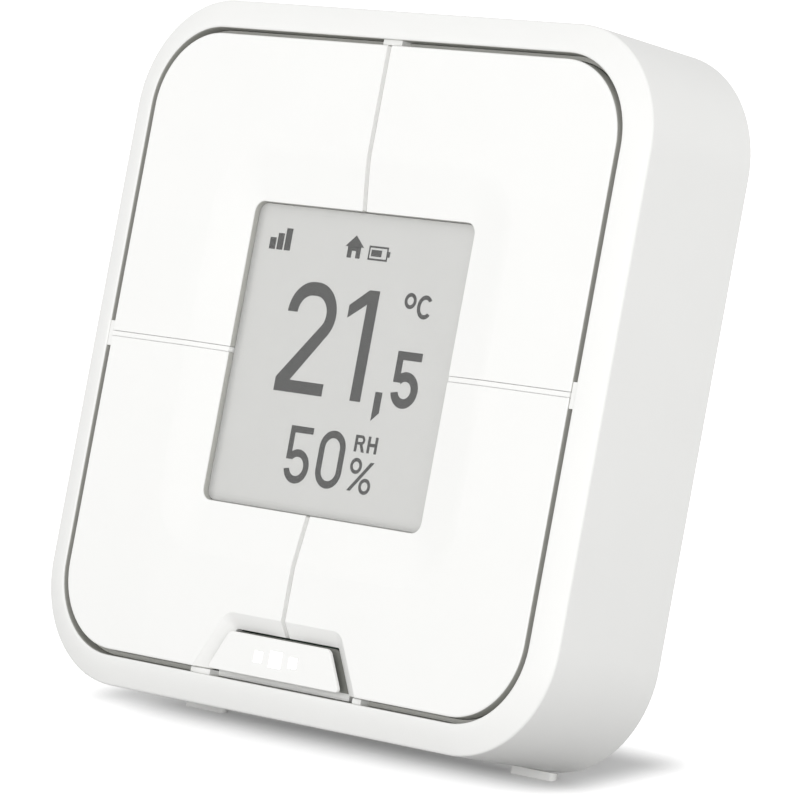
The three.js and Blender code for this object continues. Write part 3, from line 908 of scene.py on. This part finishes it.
@dataclass
class Housing(Assembly):
    """The rounded square shell, its sloped rim, its lugs and its vents."""

    half: float = 37.0
    corner: float = 12.1
    rear: float = 16.45
    wall: float = 1.8
    rim_inner: float = 33.83
    rim_drop: float = 1.07
    lip: float = 0.25
    ledge: float = 3.5
    edge: float = 0.2
    lug_reach: float = 0.56
    lug_half: float = 1.35
    side_lug_depth: float = 0.16
    foot_lug_depth: float = 0.45
    vents: int = 7
    vent_pitch: float = 3.6

    def rim_steps(self) -> list[Span]:
        """The rim from its outer edge to the lip, a little convex, then over the lip and down."""
        run = self.half - self.rim_inner - self.lip
        count = 6
        rise = [self.rim_drop * (1 - (1 - step / count) ** 1.3) for step in range(count + 1)]
        steps = [(run / count, after - before) for before, after in zip(rise, rise[1:])]
        turns = 4
        for turn in range(turns):
            first, last = (math.pi / 2 * t / turns for t in (turn, turn + 1))
            inward = self.lip * (math.sin(last) - math.sin(first))
            steps.append((inward, -self.lip * (math.cos(first) - math.cos(last))))
        steps.append((0, -(self.ledge - self.lip)))
        return steps

    def shell(self) -> Blank:
        """Models the shell with its vents."""
        shell = Blank.plate("front_housing", self.half, self.corner, (self.rim_drop, self.rear), 24)
        shell.terrace(facing((0, 0, 1)), self.rim_steps())
        shell.terrace(facing((0, 0, -1), self.rear), [(self.wall, 0), (0, -(self.rear - self.ledge))])

        def old_floor(face: bmesh.types.BMFace) -> bool:
            """The many-sided faces that closed the shell halfway."""
            height = face.calc_center_median().z
            return abs(face.normal.z) > 0.98 and abs(height + self.ledge) < 0.01 and len(face.verts) > 8

        def rear_rim(edge: bmesh.types.BMEdge) -> bool:
            """The rear edges, but for the inner wall's corners."""
            least = self.half - self.corner * 0.3 - 0.01
            return level(-self.rear)(edge) and all(
                max(abs(vertex.co.x), abs(vertex.co.y)) > least
                and vertex.co.xy.length > self.half - 0.2 for vertex in edge.verts)

        with shell.edit(Pick.FACE, old_floor):
            bpy.ops.mesh.delete(type="FACE")
        with shell.edit(Pick.EDGE, lambda edge: edge.is_boundary):
            bpy.ops.mesh.bridge_edge_loops()
            bpy.ops.mesh.select_all(action="SELECT")
            bpy.ops.mesh.normals_make_consistent(inside=False)
        shell.bevel(level(-self.rim_drop), self.edge, 3)
        shell.bevel(rear_rim, self.edge, 3)
        for index in range(self.vents):
            x = (index - (self.vents - 1) / 2) * self.vent_pitch
            through = (-self.half - 1, -self.half + self.wall + 1)
            slot = Blank.block("slot", (x - 0.65, x + 0.65), through, (7, 12.5))
            slot.bevel(running(Axis.UP), 0.6, 6)
            shell.join(Join.CUT, slot)
        return shell

    def lug(self, name: str, across: Span, up: Span, depth: float) -> None:
        """One lug that bridges the gap from the rim towards the keys."""
        lug = Blank.block(f"rim_lug_{name}", across, up, (depth, self.ledge)).soften(0.06, 2)
        self.fit(lug, WHITE_SHELL, "root", "white_shell")

    def gap_floor(self) -> Blank:
        """The ring that closes the gap round the keys, open where the menu key's skirt moves."""
        outer = self.rim_inner - 0.05
        inner = self.rim_inner - 0.53
        depth = (1.62, self.ledge - 0.1)
        ring = Blank.plate("gap_ring", outer, 8.9, depth, 20)
        opening = Blank.plate("opening", inner, 8.42, (depth[0] - 1, depth[1] + 1), 20)
        way = Blank.block("way", (-11, 11), (-outer - 1, -inner + 1), (0, 5))
        return ring.join(Join.CUT, opening, way).soften(0.04, 2, 50)

    def build(self) -> None:
        """Builds the shell, the lugs and the gap's floor."""
        self.fit(self.gap_floor(), GAP_FLOOR, "root", "dark_inner")
        # The shell's finish, with painted shade on the rim's inner wall where it bounds the gap.
        gap_side = moulding(
            "shell_white_gap", SHELL_COLOUR, SHELL_ROUGHNESS, kind=GapMoulding, half=self.rim_inner,
            corner=8.95, inside=False, face=self.face,
        )
        self.fit(self.shell(), gap_side, "root", "white_shell", ["housing_shell"])
        near, far = self.rim_inner - self.lug_reach, self.rim_inner + 0.5
        middle = (-self.lug_half, self.lug_half)
        self.lug("top", middle, (near, far), 0.4)
        self.lug("right", (near, far), middle, self.side_lug_depth)
        self.lug("left", (-far, -near), middle, self.side_lug_depth)
        self.lug("foot_left", (-12.47, -9.6), (-far, -near), self.foot_lug_depth)
        self.lug("foot_right", (11.25, 12.47), (-far, -near), self.foot_lug_depth)


@dataclass
class Paddles(Assembly):
    """Four paddle keys that share the dish round the display and the menu key's recess."""

    half: float = 33.24
    corner: float = 8.4
    thickness: float = 1.6
    seam: float = 0.6
    edge: float = 0.22
    seam_edge: float = 0.07
    dish: float = 21.3
    opening: float = 15.95
    dish_depth: float = 0.8
    crease: float = 0.9
    post: float = 20.0

    def plate(self) -> Blank:
        """The whole plate, still uncut, with a rolled outer edge."""
        plate = Blank.plate("paddle_plate", self.half, self.corner, (0, self.thickness), 22)
        plate.bevel(level(0), self.edge, 4)
        return plate

    def dish_cutter(self) -> Blank:
        """What sinks the dish: a soft crease, a straight slope, then the display's opening."""
        slope = self.dish_depth / (self.dish - self.opening)
        outer = self.dish + self.crease
        cutter = Blank.plate("dish", outer, 6.6 + self.crease, (-2, -0.01), 18)
        count = 6
        inward = 2 * self.crease / count
        steps = [(inward, slope * inward * (step + 0.5) / count) for step in range(count)]
        run = self.dish - self.crease - self.opening
        rest = self.dish_depth + 0.01 - sum(rise for _, rise in steps)
        steps += [(run, rest), (0.08, 0.16), (0, self.thickness)]
        cutter.terrace(facing((0, 0, -1)), steps)
        return cutter

    def build(self, menu: "MenuKey") -> None:
        """Cuts the plate into four keys and fits them."""
        # The keys' finish, with painted shade on their outer walls in the gap and on the wall round the
        # display's opening.
        finish = moulding(
            "key_white_gap", KEY_COLOUR, KEY_ROUGHNESS, kind=GapMoulding, grain=KEY_GRAIN,
            half=self.half, corner=self.corner, face=self.face, well_half=self.opening,
        )
        whole = self.plate().join(Join.CUT, self.dish_cutter())
        for side in Side:
            x, y = side.value
            key = whole.copy(f"paddle_key_{side.label}")
            if y < 0:
                key.join(Join.ADD, menu.recess_pad())
                key.join(Join.CUT, menu.recess_cutter())
            spans = [tuple(sorted((sign * self.seam / 2, sign * (self.half + 1)))) for sign in (x, y)]
            key.join(Join.KEEP, Blank.block("quarter", *spans, (-1, 3)))
            key.tidy().soften(self.seam_edge, 2, 60)
            at = (x * self.post, y * self.post)
            post = Blank.rod("post", 1.3, (*at, -self.thickness + 0.3), (*at, -2.6))
            key.join(Join.ADD, post)
            paddle = f"paddle_{side.label}"
            self.fit(key, finish, f"{paddle}_body", "white_key", [paddle])
        bpy.data.objects.remove(whole.thing)


@dataclass
class MenuKey(Assembly):
    """The small trapezoid key at the foot, its recess and its three light marks."""

    top: float = -27.03
    half_top: float = 8.35
    leg_angle: float = 30.0
    foot: float = -38.0
    corner: float = 1.8
    slope: float = 1.57
    depth: float = 1.15
    floor: float = 1.95
    margin: float = 1.4
    cap_inset: float = 1.87
    cap_foot: float = -33.1
    cap_front: float = -0.08
    cap_thickness: float = 0.4
    body_inset: float = 3.3
    light_y: float = -31.03
    light_pitch: float = 2.53
    light_sizes: tuple[float, float, float] = (1.15, 1.7, 1.15)

    def outline(self, inset: float, foot: float, corner: float, foot_corner: float = 0) -> Outline:
        """A trapezoid that widens downwards, its upper corners rounded.

        Args:
            inset: How far its top and legs stand inside the recess's outer crease.
            foot: Height of its foot.
            corner: Radius of its upper corners.
            foot_corner: Radius of its lower corners.

        Returns:
            The closed outline, anticlockwise from its lower right corner.
        """
        lean = math.radians(self.leg_angle)
        top = self.top - inset
        half_top = self.half_top - inset * (1 / math.cos(lean) - math.tan(lean))
        half_foot = half_top + (top - foot) * math.tan(lean)
        x = half_top - corner * math.tan(math.pi / 4 - lean / 2)
        shape = Outline()
        if foot_corner:
            in_x = half_foot - foot_corner * math.tan(math.pi / 4 + lean / 2)
            shape.arc((in_x, foot + foot_corner), foot_corner, -90, self.leg_angle)
        else:
            shape.to((half_foot, foot))
        return shape.arc((x, top - corner), corner, self.leg_angle, 90).mirrored()

    def recess_cutter(self) -> Blank:
        """What sinks the sloped recess and opens its floor."""
        cutter = Blank.flat("recess", [self.outline(-0.1, self.foot, self.corner + 0.1)], (-2, -0.012))
        tilt = self.depth / self.slope
        soft = 0.12
        dip = soft * tilt * 0.55
        run = self.slope + 0.1 - soft
        steps = [(soft, dip), (run, self.depth + 0.012 - dip), (0, self.floor)]
        cutter.terrace(facing((0, 0, -1)), steps)
        return cutter

    def recess_pad(self) -> Blank:
        """The thicker floor under the recess."""
        shape = self.outline(-self.margin, -32.7, self.corner + self.margin)
        return Blank.flat("pad", [shape], (1.2, self.floor))

    def marks(self, grow: float, depth: Span) -> list[Blank]:
        """Three square posts, the middle one larger."""
        posts = []
        for index, size in enumerate(self.light_sizes):
            x = (index - 1) * self.light_pitch
            half = size / 2 + grow
            up = (self.light_y - half, self.light_y + half)
            posts.append(Blank.block(f"light_mark_{index + 1}", (x - half, x + half), up, depth))
        return posts

    def build(self) -> None:
        """Builds the cap, its dark stem and the light guide."""
        back = self.cap_front + self.cap_thickness
        shape = self.outline(self.cap_inset, self.cap_foot, 0.9, 0.35)
        cap = Blank.flat("menu_key_cap", [shape], (self.cap_front, back))
        cap.bevel(level(-self.cap_front), 0.12, 3)
        cap.join(Join.CUT, *self.marks(0.03, (-1, 3)))
        self.fit(cap, WHITE_KEY, "menu_key_body", "white_key", ["menu_key"])

        stem = Blank.flat("menu_key_stem", [self.outline(self.body_inset, self.cap_foot + 0.6, 0.6, 0.3)],
                          (back + 0.01, 2.4))
        shoulder = self.outline(self.slope + 0.18, self.cap_foot + 0.1, 0.9)
        stem.join(Join.ADD, Blank.flat("shoulder", [shoulder], (1.35, 1.9)))
        stem.join(Join.CUT, *self.marks(0.06, (-1, 4)))
        stem.soften(0.08, 2)
        self.fit(stem, DARK_INNER, "menu_key_body", "dark_inner")
        skirt = Blank.block("menu_key_skirt", (-9.6, 9.6), (-33.78, -32.6), (1.7, 2.9)).soften(0.1, 2)
        self.fit(skirt, WHITE_KEY, "menu_key_body", "white_key")

        bar = Blank.block("light_guide_bar", (-3.4, 3.4), (self.light_y - 0.95, self.light_y + 0.95),
                          (2.95, 3.1))
        bar.join(Join.ADD, *self.marks(0, (self.cap_front - 0.01, 3.0)))
        bar.soften(0.05, 2)
        self.fit(bar, GLOW, "menu_key_body", "light_guide", ["light_guide"])


@dataclass
class Display(Assembly):
    """The paper display, its clear coat and what it shows."""

    half: float = 15.82
    corner: float = 1.1
    front: float = 1.45
    ink: float = 0.012

    def glyph(self, name: str, outlines: Sequence[Outline]) -> None:
        """Prints one sign in ink on the film."""
        top = self.front + 0.03
        sign = Blank.flat(name, outlines, (top, top + self.ink))
        self.fit(sign, INK, "root")

    def five(self, left: float, foot: float, width: float, height: float, stroke: float) -> Outline:
        """The figure 5 in a box, drawn with a stroke."""
        right, top = left + width, foot + height
        radius = width / 2
        middle = (left + radius, foot + radius)
        stem = left + 0.03 * width
        bar = stroke * 0.88
        inner = radius - stroke
        meet = 180 - math.degrees(math.acos((radius - 0.03 * width - stroke * 0.9) / radius))
        notch = middle[1] + 0.19 * width
        shape = Outline((stem, top), (stem, notch), (middle[0] - inner * 0.8, notch))
        shape.arc(middle, inner, 143, -166)
        shape.arc(middle, radius, -168, meet)
        end = right - 0.05 * width
        shape.to((stem + stroke * 0.9, top - bar), (end, top - bar), (end, top))
        return shape

    def stadium(self, left: float, foot: float, width: float, height: float) -> Outline:
        """A tall round-ended ring's edge."""
        radius = width / 2
        shape = Outline().arc((left + radius, foot + height - radius), radius, 0, 180)
        return shape.arc((left + radius, foot + radius), radius, 180, 360)

    def ring(self, middle: Span, radius: float, stroke: float) -> list[Outline]:
        """A round ring."""
        return [Outline().arc(middle, size, 0, 354) for size in (radius, radius - stroke)]

    def temperature(self) -> None:
        """The large reading, its decimal and its unit."""
        left, right, foot, bar, bowl_y = -9.03, -1.93, -3.547, 1.29, 4.84
        first, second, third = (-5.715, bowl_y), (-5.245, bowl_y), (-5.045, bowl_y)
        two = Outline().arc(first, 3.315, 180, 90).arc(second, 3.315, 90, 0).arc(third, 3.115, 0, -41.4)
        two.to((-6.95, foot + bar), (right, foot + bar), (right, foot), (left, foot), (left, foot + 1.45))
        two.arc(third, 1.685, -41.4, 0).arc(second, 1.885, 0, 90).arc(first, 1.885, 90, 180)
        self.glyph("ink_figure_two", [two])
        self.glyph("ink_figure_one", [Outline(
            (2.153, foot), (3.682, foot), (3.682, 7.99), (2.225, 7.99), (-0.331, 6.224),
            (-0.331, 4.886), (2.153, 6.463))])
        self.glyph("ink_decimal", [Outline((5.617, -5.29), (6.62, -4.41), (6.62, -2.257), (5.617, -2.257))])
        self.glyph("ink_figure_five", [self.five(7.672, -3.619, 3.774, 5.829, 1.0)])
        self.glyph("ink_degree", self.ring((8.173, 7.394), 0.833, 0.4))
        middle = (10.31, 6.916)
        sign = Outline().arc(middle, 1.09, 38, 322, 1.24).arc(middle, 0.64, 315, 45, 0.79)
        self.glyph("ink_celsius", [sign])

    def humidity(self) -> None:
        """The small reading with its unit."""
        foot, height, stroke = -12.84, 5.97, 0.79
        self.glyph("ink_humidity_five", [self.five(-5.467, foot, 3.583, height, stroke)])
        outer = self.stadium(-0.857, foot, 3.75, height + 0.07)
        inner = self.stadium(-0.857 + stroke, foot + stroke, 3.75 - 2 * stroke, height + 0.07 - 2 * stroke)
        self.glyph("ink_humidity_zero", [outer, inner])
        self.glyph("ink_percent_upper", self.ring((4.805, -10.044), 0.833, 0.38))
        self.glyph("ink_percent_lower", self.ring((6.477, -12.028), 0.833, 0.38))
        self.glyph("ink_percent_bar", [Outline((4.02, -12.65), (4.55, -12.65), (7.33, -9.5), (6.8, -9.5))])

        low, high, pen = -8.612, -6.868, 0.38
        stem = 4.041
        middle = (stem + 0.9, high - 0.5)
        bowl = Outline((stem, low), (stem + pen, low), (stem + pen, low + 0.75), (stem + 0.72, low + 0.75),
                       (stem + 1.07, low), (stem + 1.5, low), (stem + 1.12, low + 0.8))
        bowl.arc(middle, 0.5, -70, 90).to((stem, high))
        hole = Outline((stem + pen, high - 0.7), (stem + pen, high - 0.3))
        hole.arc((middle[0] - 0.02, middle[1]), 0.2, 90, -90)
        self.glyph("ink_letter_r", [bowl, hole])
        post = 5.857
        self.glyph("ink_letter_h", [Outline(
            (post, low), (post + pen, low), (post + pen, low + 0.69), (post + 1.03, low + 0.69),
            (post + 1.03, low), (post + 1.41, low), (post + 1.41, high), (post + 1.03, high),
            (post + 1.03, low + 1.05), (post + pen, low + 1.05), (post + pen, high), (post, high))])

    def signs(self) -> None:
        """Radio strength, and a plain house with a battery beside it."""
        foot, width, pitch = 11.07, 0.908, 1.11
        for index, height in enumerate((1.24, 1.75, 2.34)):
            left = -13.542 + index * pitch
            mark = Outline.box(left, foot, left + width, foot + height)
            self.glyph(f"ink_signal_{index + 1}", [mark])
        x, eave = -1.1, 12.25
        house = Outline((0.3, foot + 0.75), (0.3, foot), (0.95, foot), (0.95, eave), (1.35, eave),
                        (0, eave + 1.2), (-1.35, eave), (-0.95, eave), (-0.95, foot), (-0.3, foot),
                        (-0.3, foot + 0.75))
        house.points = [(x + across, up) for across, up in house.points]
        self.glyph("ink_house", [house])
        left, high, pen = 1.0, foot + 1.5, 0.2
        end, tip, nick = left + 2.8, left + 3.1, 0.45
        case = Outline((left, foot), (end, foot), (end, foot + nick), (tip, foot + nick),
                       (tip, high - nick), (end, high - nick), (end, high), (left, high))
        hollow = Outline.box(left + pen, foot + pen, end - pen, high - pen)
        self.glyph("ink_battery_case", [case, hollow])
        self.glyph("ink_battery_charge", [Outline.box(left + 0.4, foot + 0.4, left + 1.9, high - 0.4)])

    def build(self) -> None:
        """Builds the coat, the film and the signs."""
        coat = Blank.plate("clear_coat_pane", self.half, self.corner, (self.front, self.front + 0.02), 8)
        self.fit(coat, COAT, "root", "window_glass")
        film = Blank.plate("paper_film_sheet", self.half, self.corner,
                           (self.front + 0.03 + self.ink + 0.002, 2.04), 8)
        film.bevel(level(-2.04), 0.1, 2)
        shaded = PaperFilm("paper_film_shaded", **PAPER_LOOK, face=self.face)
        self.fit(film, shaded, "root", "display_paper", ["display_window"])
        self.temperature()
        self.humidity()
        self.signs()


@dataclass
class SeamWebs(Assembly):
    """White webs in the seams between the paddles, which follow the dish a little under it."""

    paddles: Paddles
    menu: MenuKey
    half_width: float = 0.27
    back: float = 1.98
    inner: float = 15.97
    outer: float = 33.2
    foot: float = 28.5
    upright_drop: float = 0.58
    level_drop: float = 0.13
    rib_half: float = 0.235
    rib_drop: float = 0.03
    rib_short: float = 0.03

    def web(self, name: str, spans: tuple[Span, Span], drop: float, back: float) -> None:
        """One web whose front follows the paddles' surface, a little under it.

        Args:
            name: The piece's name.
            spans: Across and up.
            drop: How far under the surface it lies.
            back: Depth of its rear.
        """
        web = Blank.block(name, *spans, (drop, back))
        hollows = (self.paddles.dish_cutter(), self.menu.recess_cutter())
        web.join(Join.CUT, *(hollow.move(0, 0, -drop) for hollow in hollows))
        self.fit(web, WHITE_KEY, "root", "white_key")

    def build(self) -> None:
        """Builds two upright webs, and two level ones with a rib along each."""
        wide = (-self.half_width, self.half_width)
        fine = (-self.rib_half, self.rib_half)
        runs = {"top": (self.inner, self.outer), "foot": (-self.foot, -self.inner)}
        for name, run in runs.items():
            self.web(f"seam_web_{name}", (wide, run), self.upright_drop, self.back)
        beside = {"right": (self.inner, self.outer), "left": (-self.outer, -self.inner)}
        for name, (start, end) in beside.items():
            self.web(f"seam_web_{name}", ((start, end), wide), self.level_drop, self.back)
            within = (start + self.rib_short, end - self.rib_short)
            self.web(f"seam_rib_{name}", (within, fine), self.rib_drop, self.back - 0.3)


@dataclass
class Back(Assembly):
    """The back cover, its door and its screws."""

    half: float = 34.85
    corner: float = 9.95
    front: float = 14.9
    flange: float = 16.25
    plateau_half: float = 31.5
    plateau_corner: float = 5.0
    back: float = 18.4
    door_half: float = 26.0
    door_span: Span = (3.2, 28.3)
    screw_place: float = 28.0
    hinge: Span = (-1.0, 17.2)
    leg_half: float = 18.6

    def door_plate(self, name: str, grow: float, depth: Span) -> Blank:
        """A plate with the door's outline."""
        low, high = self.door_span
        return Blank.plate(name, self.door_half + grow, 1.5 + grow, depth, 8,
                           (0, (low + high) / 2), (high - low) / 2 + grow)

    def cover(self) -> Blank:
        """Models the cover."""
        cover = Blank.plate("rear_cover", self.half, self.corner, (self.front, self.flange), 20)
        plateau = Blank.plate("plateau", self.plateau_half, self.plateau_corner,
                              (self.front + 0.3, self.back), 14)
        plateau.bevel(level(-self.back), 0.56, 4)
        cover.join(Join.ADD, plateau)
        y, z = self.hinge
        reach = self.leg_half
        cover.join(
            Join.CUT,
            Blank.block("cells", (-27.3, 27.3), (1.9, 29.3), (self.front - 1, 16.3)),
            self.door_plate("door_way", 0.3, (self.front, self.back + 1)),
            Blank.block("leg_bay", (-reach, reach), (-self.half - 1, 0.9), (16.4, self.back + 1)),
            Blank.rod("knuckle", 1.85, (-reach, y, -z), (reach, y, -z)),
            Blank.rod("pin_way", 1.0, (-21.3, y, -z), (21.3, y, -z), 24),
        )
        for side in Side:
            x, y = (sign * self.screw_place for sign in side.value)
            cover.join(
                Join.CUT,
                Blank.rod("shaft_way", 1.35, (x, y, -self.front + 1), (x, y, -self.back), 24),
                Blank.rod("head_way", 2.25, (x, y, -16.4), (x, y, -self.back - 1), 40),
            )
        return cover.soften(0.12, 2)

    def door(self) -> Blank:
        """Models the door with its finger grooves."""
        door = self.door_plate("battery_hatch", 0, (16.6, self.back))
        door.bevel(level(-self.back), 0.25, 3)
        for index in range(4):
            y = self.door_span[1] - 2.5 - index * 1.6
            groove = Blank.rod("groove", 0.55, (-7, y, -self.back - 0.15), (7, y, -self.back - 0.15), 24)
            door.join(Join.CUT, groove)
        return door.soften(0.06, 2, 50)

    def screw(self) -> Blank:
        """Models one pan-head screw at the bench's middle."""
        head = Blank.rod("screw", 1.9, (0, 0, -16.45), (0, 0, -17.75), 40)
        head.bevel(level(-17.75), 0.5, 4)
        head.join(Join.ADD, Blank.rod("shaft", 1.0, (0, 0, -7), (0, 0, -16.6), 24))
        head.join(
            Join.CUT,
            Blank.block("bar", (-1.1, 1.1), (-0.25, 0.25), (17.1, 19)),
            Blank.block("bar", (-0.25, 0.25), (-1.1, 1.1), (17.1, 19)),
        )
        return head

    def build(self) -> None:
        """Builds the cover, the door and the screws."""
        self.fit(self.cover(), WHITE_SHELL, "root", "white_shell", ["back_cover"])
        self.fit(self.door(), WHITE_SHELL, "door_body", "white_shell", ["battery_door"])
        screw = self.screw()
        for side in Side:
            x, y = (sign * self.screw_place for sign in side.value)
            one = screw.copy(f"case_screw_{side.label}").move(x, y)
            self.fit(one, METAL, "root", "bright_metal", [f"cover_screw_{side.label}"])
        bpy.data.objects.remove(screw.thing)


@dataclass
class Feet(Assembly):
    """Two low rubber feet under the shell, cut level with the floor."""

    spread: float = 24.0
    half: float = 3.0
    top: float = -37.05
    depth: Span = (14.7, 15.8)

    def build(self) -> None:
        """Builds both feet."""
        upward = Vector((0, self.face.up.z, -self.face.back.z))
        floor = upward * (-self.face.origin.z / MM)
        for name, x in (("left", -self.spread), ("right", self.spread)):
            foot = Blank.block(f"soft_foot_{name}", (x - self.half, x + self.half),
                               (self.top - 2, self.top), self.depth)
            foot.bevel(running(Axis.UP), 0.5, 5)
            with foot.edit(Pick.FACE, whole):
                bpy.ops.mesh.bisect(plane_co=floor, plane_no=upward, clear_inner=True, use_fill=True)
            foot.soften(0.08, 2, 50)
            self.fit(foot, RUBBER, "root", "rubber_pad", [f"rubber_foot_{name}"])


@dataclass
class Leg(Assembly):
    """The fold-out leg, modelled hanging from its hinge."""

    hinge: Vector
    half: float = 18.2
    length: float = 34.6
    thickness: float = 1.5
    barrel: float = 1.45
    bore: float = 1.0
    rim: float = 3.2
    pad_drop: float = 1.0

    @property
    def place(self) -> Matrix:
        """From the leg's bench to the row frame: the leg opens until its pad meets the floor."""
        from_upright = math.acos(self.hinge.z / ((self.length + self.pad_drop) * MM))
        turn = Matrix.Rotation(math.pi / 2 + from_upright, 4, "X")
        return Matrix.Translation(self.hinge) @ turn @ Matrix.Scale(MM, 4)

    def build(self) -> None:
        """Builds the blade with its knuckle, its shallow hollow and its ribs."""
        half = self.thickness / 2
        blade = Blank.block("stand_blade", (-self.half, self.half), (-self.length, 0), (-half, half))
        blade.bevel(lambda edge: running(Axis.DEPTH)(edge) and edge.verts[0].co.y < -1, 2.6, 10)
        blade.soften(0.2, 3, 60)
        knuckle = Blank.rod("knuckle", self.barrel, (-self.half, 0, 0), (self.half, 0, 0))
        knuckle.soften(0.15, 2, 60)
        blade.join(Join.ADD, knuckle)
        inner = self.half - self.rim
        bay = Blank.plate("hollow", inner, 1.6, (0, 3), 6, (0, -self.length / 2),
                          self.length / 2 - self.rim)
        blade.join(Join.CUT, bay, Blank.rod("bore", self.bore, (-30, 0, 0), (30, 0, 0), 32))
        for index in range(4):
            x = (index - 1.5) * 7
            along = (-self.length + self.rim - 0.3, -self.rim + 0.3)
            rib = Blank.block("rib", (x - 0.35, x + 0.35), along, (-0.1, half - 0.12))
            blade.join(Join.ADD, rib)
        blade.soften(0.08, 2, 50)
        self.fit(blade, WHITE_SHELL, "leg_body", "white_shell", ["stand_leg"])


@dataclass
class Kept:
    """The frame's own nodes that stay, with rounded edges and their own finishes."""

    nodes: dict[str, bpy.types.Object]

    FINISHES = {
        "window_gasket": FOAM, "paper_display": PAPER, "display_tray": WHITE_INNER,
        "key_carrier": DARK_INNER, "main_board": BOARD, "radio_module": METAL,
        "processor_chip": BLACK, "climate_sensor": BLACK, "ribbon_connector": WHITE_INNER,
        "display_ribbon": AMBER, "battery_tray": DARK_INNER, "hinge_pin": METAL, "leg_pad": RUBBER,
    }
    BEGINNINGS = {
        "switch_": METAL, "plunger_": BLACK, "led_": AMBER, "cell_": SLEEVE, "contact_": METAL,
    }
    ROUNDING = {"leg_pad": 0.12, "cell_": 0.35, "key_carrier": 0.08, "main_board": 0.05}

    def finish(self, name: str) -> Any:
        """The finish of one node."""
        if name in self.FINISHES:
            return self.FINISHES[name]
        return next(value for start, value in self.BEGINNINGS.items() if name.startswith(start))

    def round_off(self, node: bpy.types.Object, width: float) -> None:
        """Welds the node's loose triangles and rounds its edges, as live modifiers."""
        weld = node.modifiers.new("weld", "WELD")
        weld.merge_threshold = 1e-6
        flat = node.modifiers.new("flat", "DECIMATE")
        flat.decimate_type = "DISSOLVE"
        flat.angle_limit = math.radians(1)
        bevel = node.modifiers.new("round", "BEVEL")
        bevel.width = width * MM
        bevel.segments = 2
        bevel.limit_method = "ANGLE"
        bevel.angle_limit = math.radians(40)

    def build(self) -> None:
        """Dresses every node that no piece stands for."""
        for name, node in self.nodes.items():
            if node.hide_render:
                continue
            node.data.materials.clear()
            node.data.materials.append(self.finish(name).material)
            for start, width in self.ROUNDING.items():
                if name.startswith(start):
                    self.round_off(node, width)
            LOG.info("%s: kept from the frame", name)


# ------------------------------------------------------------------ studio
@dataclass
class Studio:
    """Floor, camera, soft lights and a pale sky."""

    eye: Vector = Vector((371.1, -376.3, 112.8))
    heading: Vector = Vector((-0.6932, 0.7062, -0.1444))
    lens: float = 231.46
    sky: float = 1.07
    sky_fall: float = 0.32
    floor_glow: float = 0.8
    # Painted shade: the floor's darker colour round the object.
    near_floor: Colour = (0.58, 0.58, 0.58)
    key_power: float = 13.0
    aim_height: float = 0.035

    def hang(self, data: bpy.types.ID, place: Vector, aim: Vector) -> bpy.types.Object:
        """Puts a camera or a light at a place, looking along a direction."""
        thing = bpy.data.objects.new(data.name, data)
        thing.location = place
        thing.rotation_euler = aim.to_track_quat("-Z", "Y").to_euler()
        bpy.context.scene.collection.objects.link(thing)
        return thing

    def camera(self) -> None:
        """A long lens in front of the face's right side, a little above."""
        data = bpy.data.cameras.new("camera")
        data.lens = self.lens
        data.sensor_width = 36
        data.clip_start, data.clip_end = 0.01, 50
        bpy.context.scene.camera = self.hang(data, self.eye * MM, self.heading)

    def floor(self) -> None:
        """A wide pale floor with a soft glow of its own that lights only the floor, and a painted contact
        shadow where the glow and the colour dim round the object.
        """
        settle()
        bpy.ops.mesh.primitive_plane_add(size=12, location=(0, 0, 0))
        ground = bpy.context.object
        ground.name = "floor"
        graph = Graph("floor_white")
        drift = graph.noise(120, 2)
        # Painted contact shadow: round a box under the object the glow falls to 0.15 within 10 mm, and the
        # colour is darker out to 10 mm and pale again by 80 mm.
        across = (graph.along(RIGHT, Vector()) + 4).size() - 31
        deep = (graph.along(Vector((0, 1, 0)), Vector()) - 2.5).size() - 5
        away = graph.length(across.above(0), deep.above(0))
        pale = graph.mix(drift, (0.75, 0.75, 0.75), (0.77, 0.77, 0.77))
        ground.data.materials.append(graph.close({
            "Base Color": graph.mix(away.rise(10, 80), self.near_floor, pale),
            "Roughness": 0.9,
            "Emission Color": graph.mix(away.rise(0, 10), (0.15, 0.15, 0.15), (1, 1, 1)),
            "Emission Strength": self.floor_glow,
            "Specular IOR Level": 0.0,
        }))
        alone = bpy.data.collections.new("floor_only")
        alone.objects.link(ground)
        ground.light_linking.receiver_collection = alone

    def light(self, name: str, place: Sequence[float], size: float, power: float) -> None:
        """One square soft light aimed at the object."""
        data = bpy.data.lights.new(name, "AREA")
        data.shape = "SQUARE"
        data.size = size
        data.energy = power
        self.hang(data, Vector(place), Vector((0, 0, self.aim_height)) - Vector(place))

    def heaven(self) -> bpy.types.World:
        """A white sky, a little dimmer overhead."""
        graph = Graph("sky", world=True)
        height = graph.wire("ShaderNodeSeparateXYZ", {}, {"Vector": graph.place}, "Z").above(0)
        glow = self.sky - height * self.sky_fall
        backdrop = graph.wire("ShaderNodeBackground", {}, {"Color": (1, 1, 1, 1), "Strength": glow})
        graph.node("ShaderNodeOutputWorld", {}, {"Surface": backdrop})
        return graph.owner

    def build(self) -> None:
        """Sets the studio up."""
        self.camera()
        self.floor()
        self.light("key_light", (0.76, -1.3, 0.16), 0.9, self.key_power)
        bpy.context.scene.world = self.heaven()
        bpy.context.scene.view_settings.view_transform = "Standard"


def main() -> None:
    """Builds the object sub-assembly by sub-assembly."""
    logging.basicConfig(level=logging.INFO, format="%(name)s %(message)s")
    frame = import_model()
    Studio().build()
    face = Face.of(frame)
    joints = {joint["name"]: joint for joint in frame["joints"]}
    menu = MenuKey(face)
    Housing(face).build()
    paddles = Paddles(face)
    paddles.build(menu)
    menu.build()
    SeamWebs(face, paddles, menu).build()
    Display(face).build()
    Back(face).build()
    Feet(face).build()
    Leg(face, Vector(joints["stand_leg_fold"]["pos_m"])).build()
    Kept(frame["nodes"]).build()


if __name__ == "__main__":
    main()
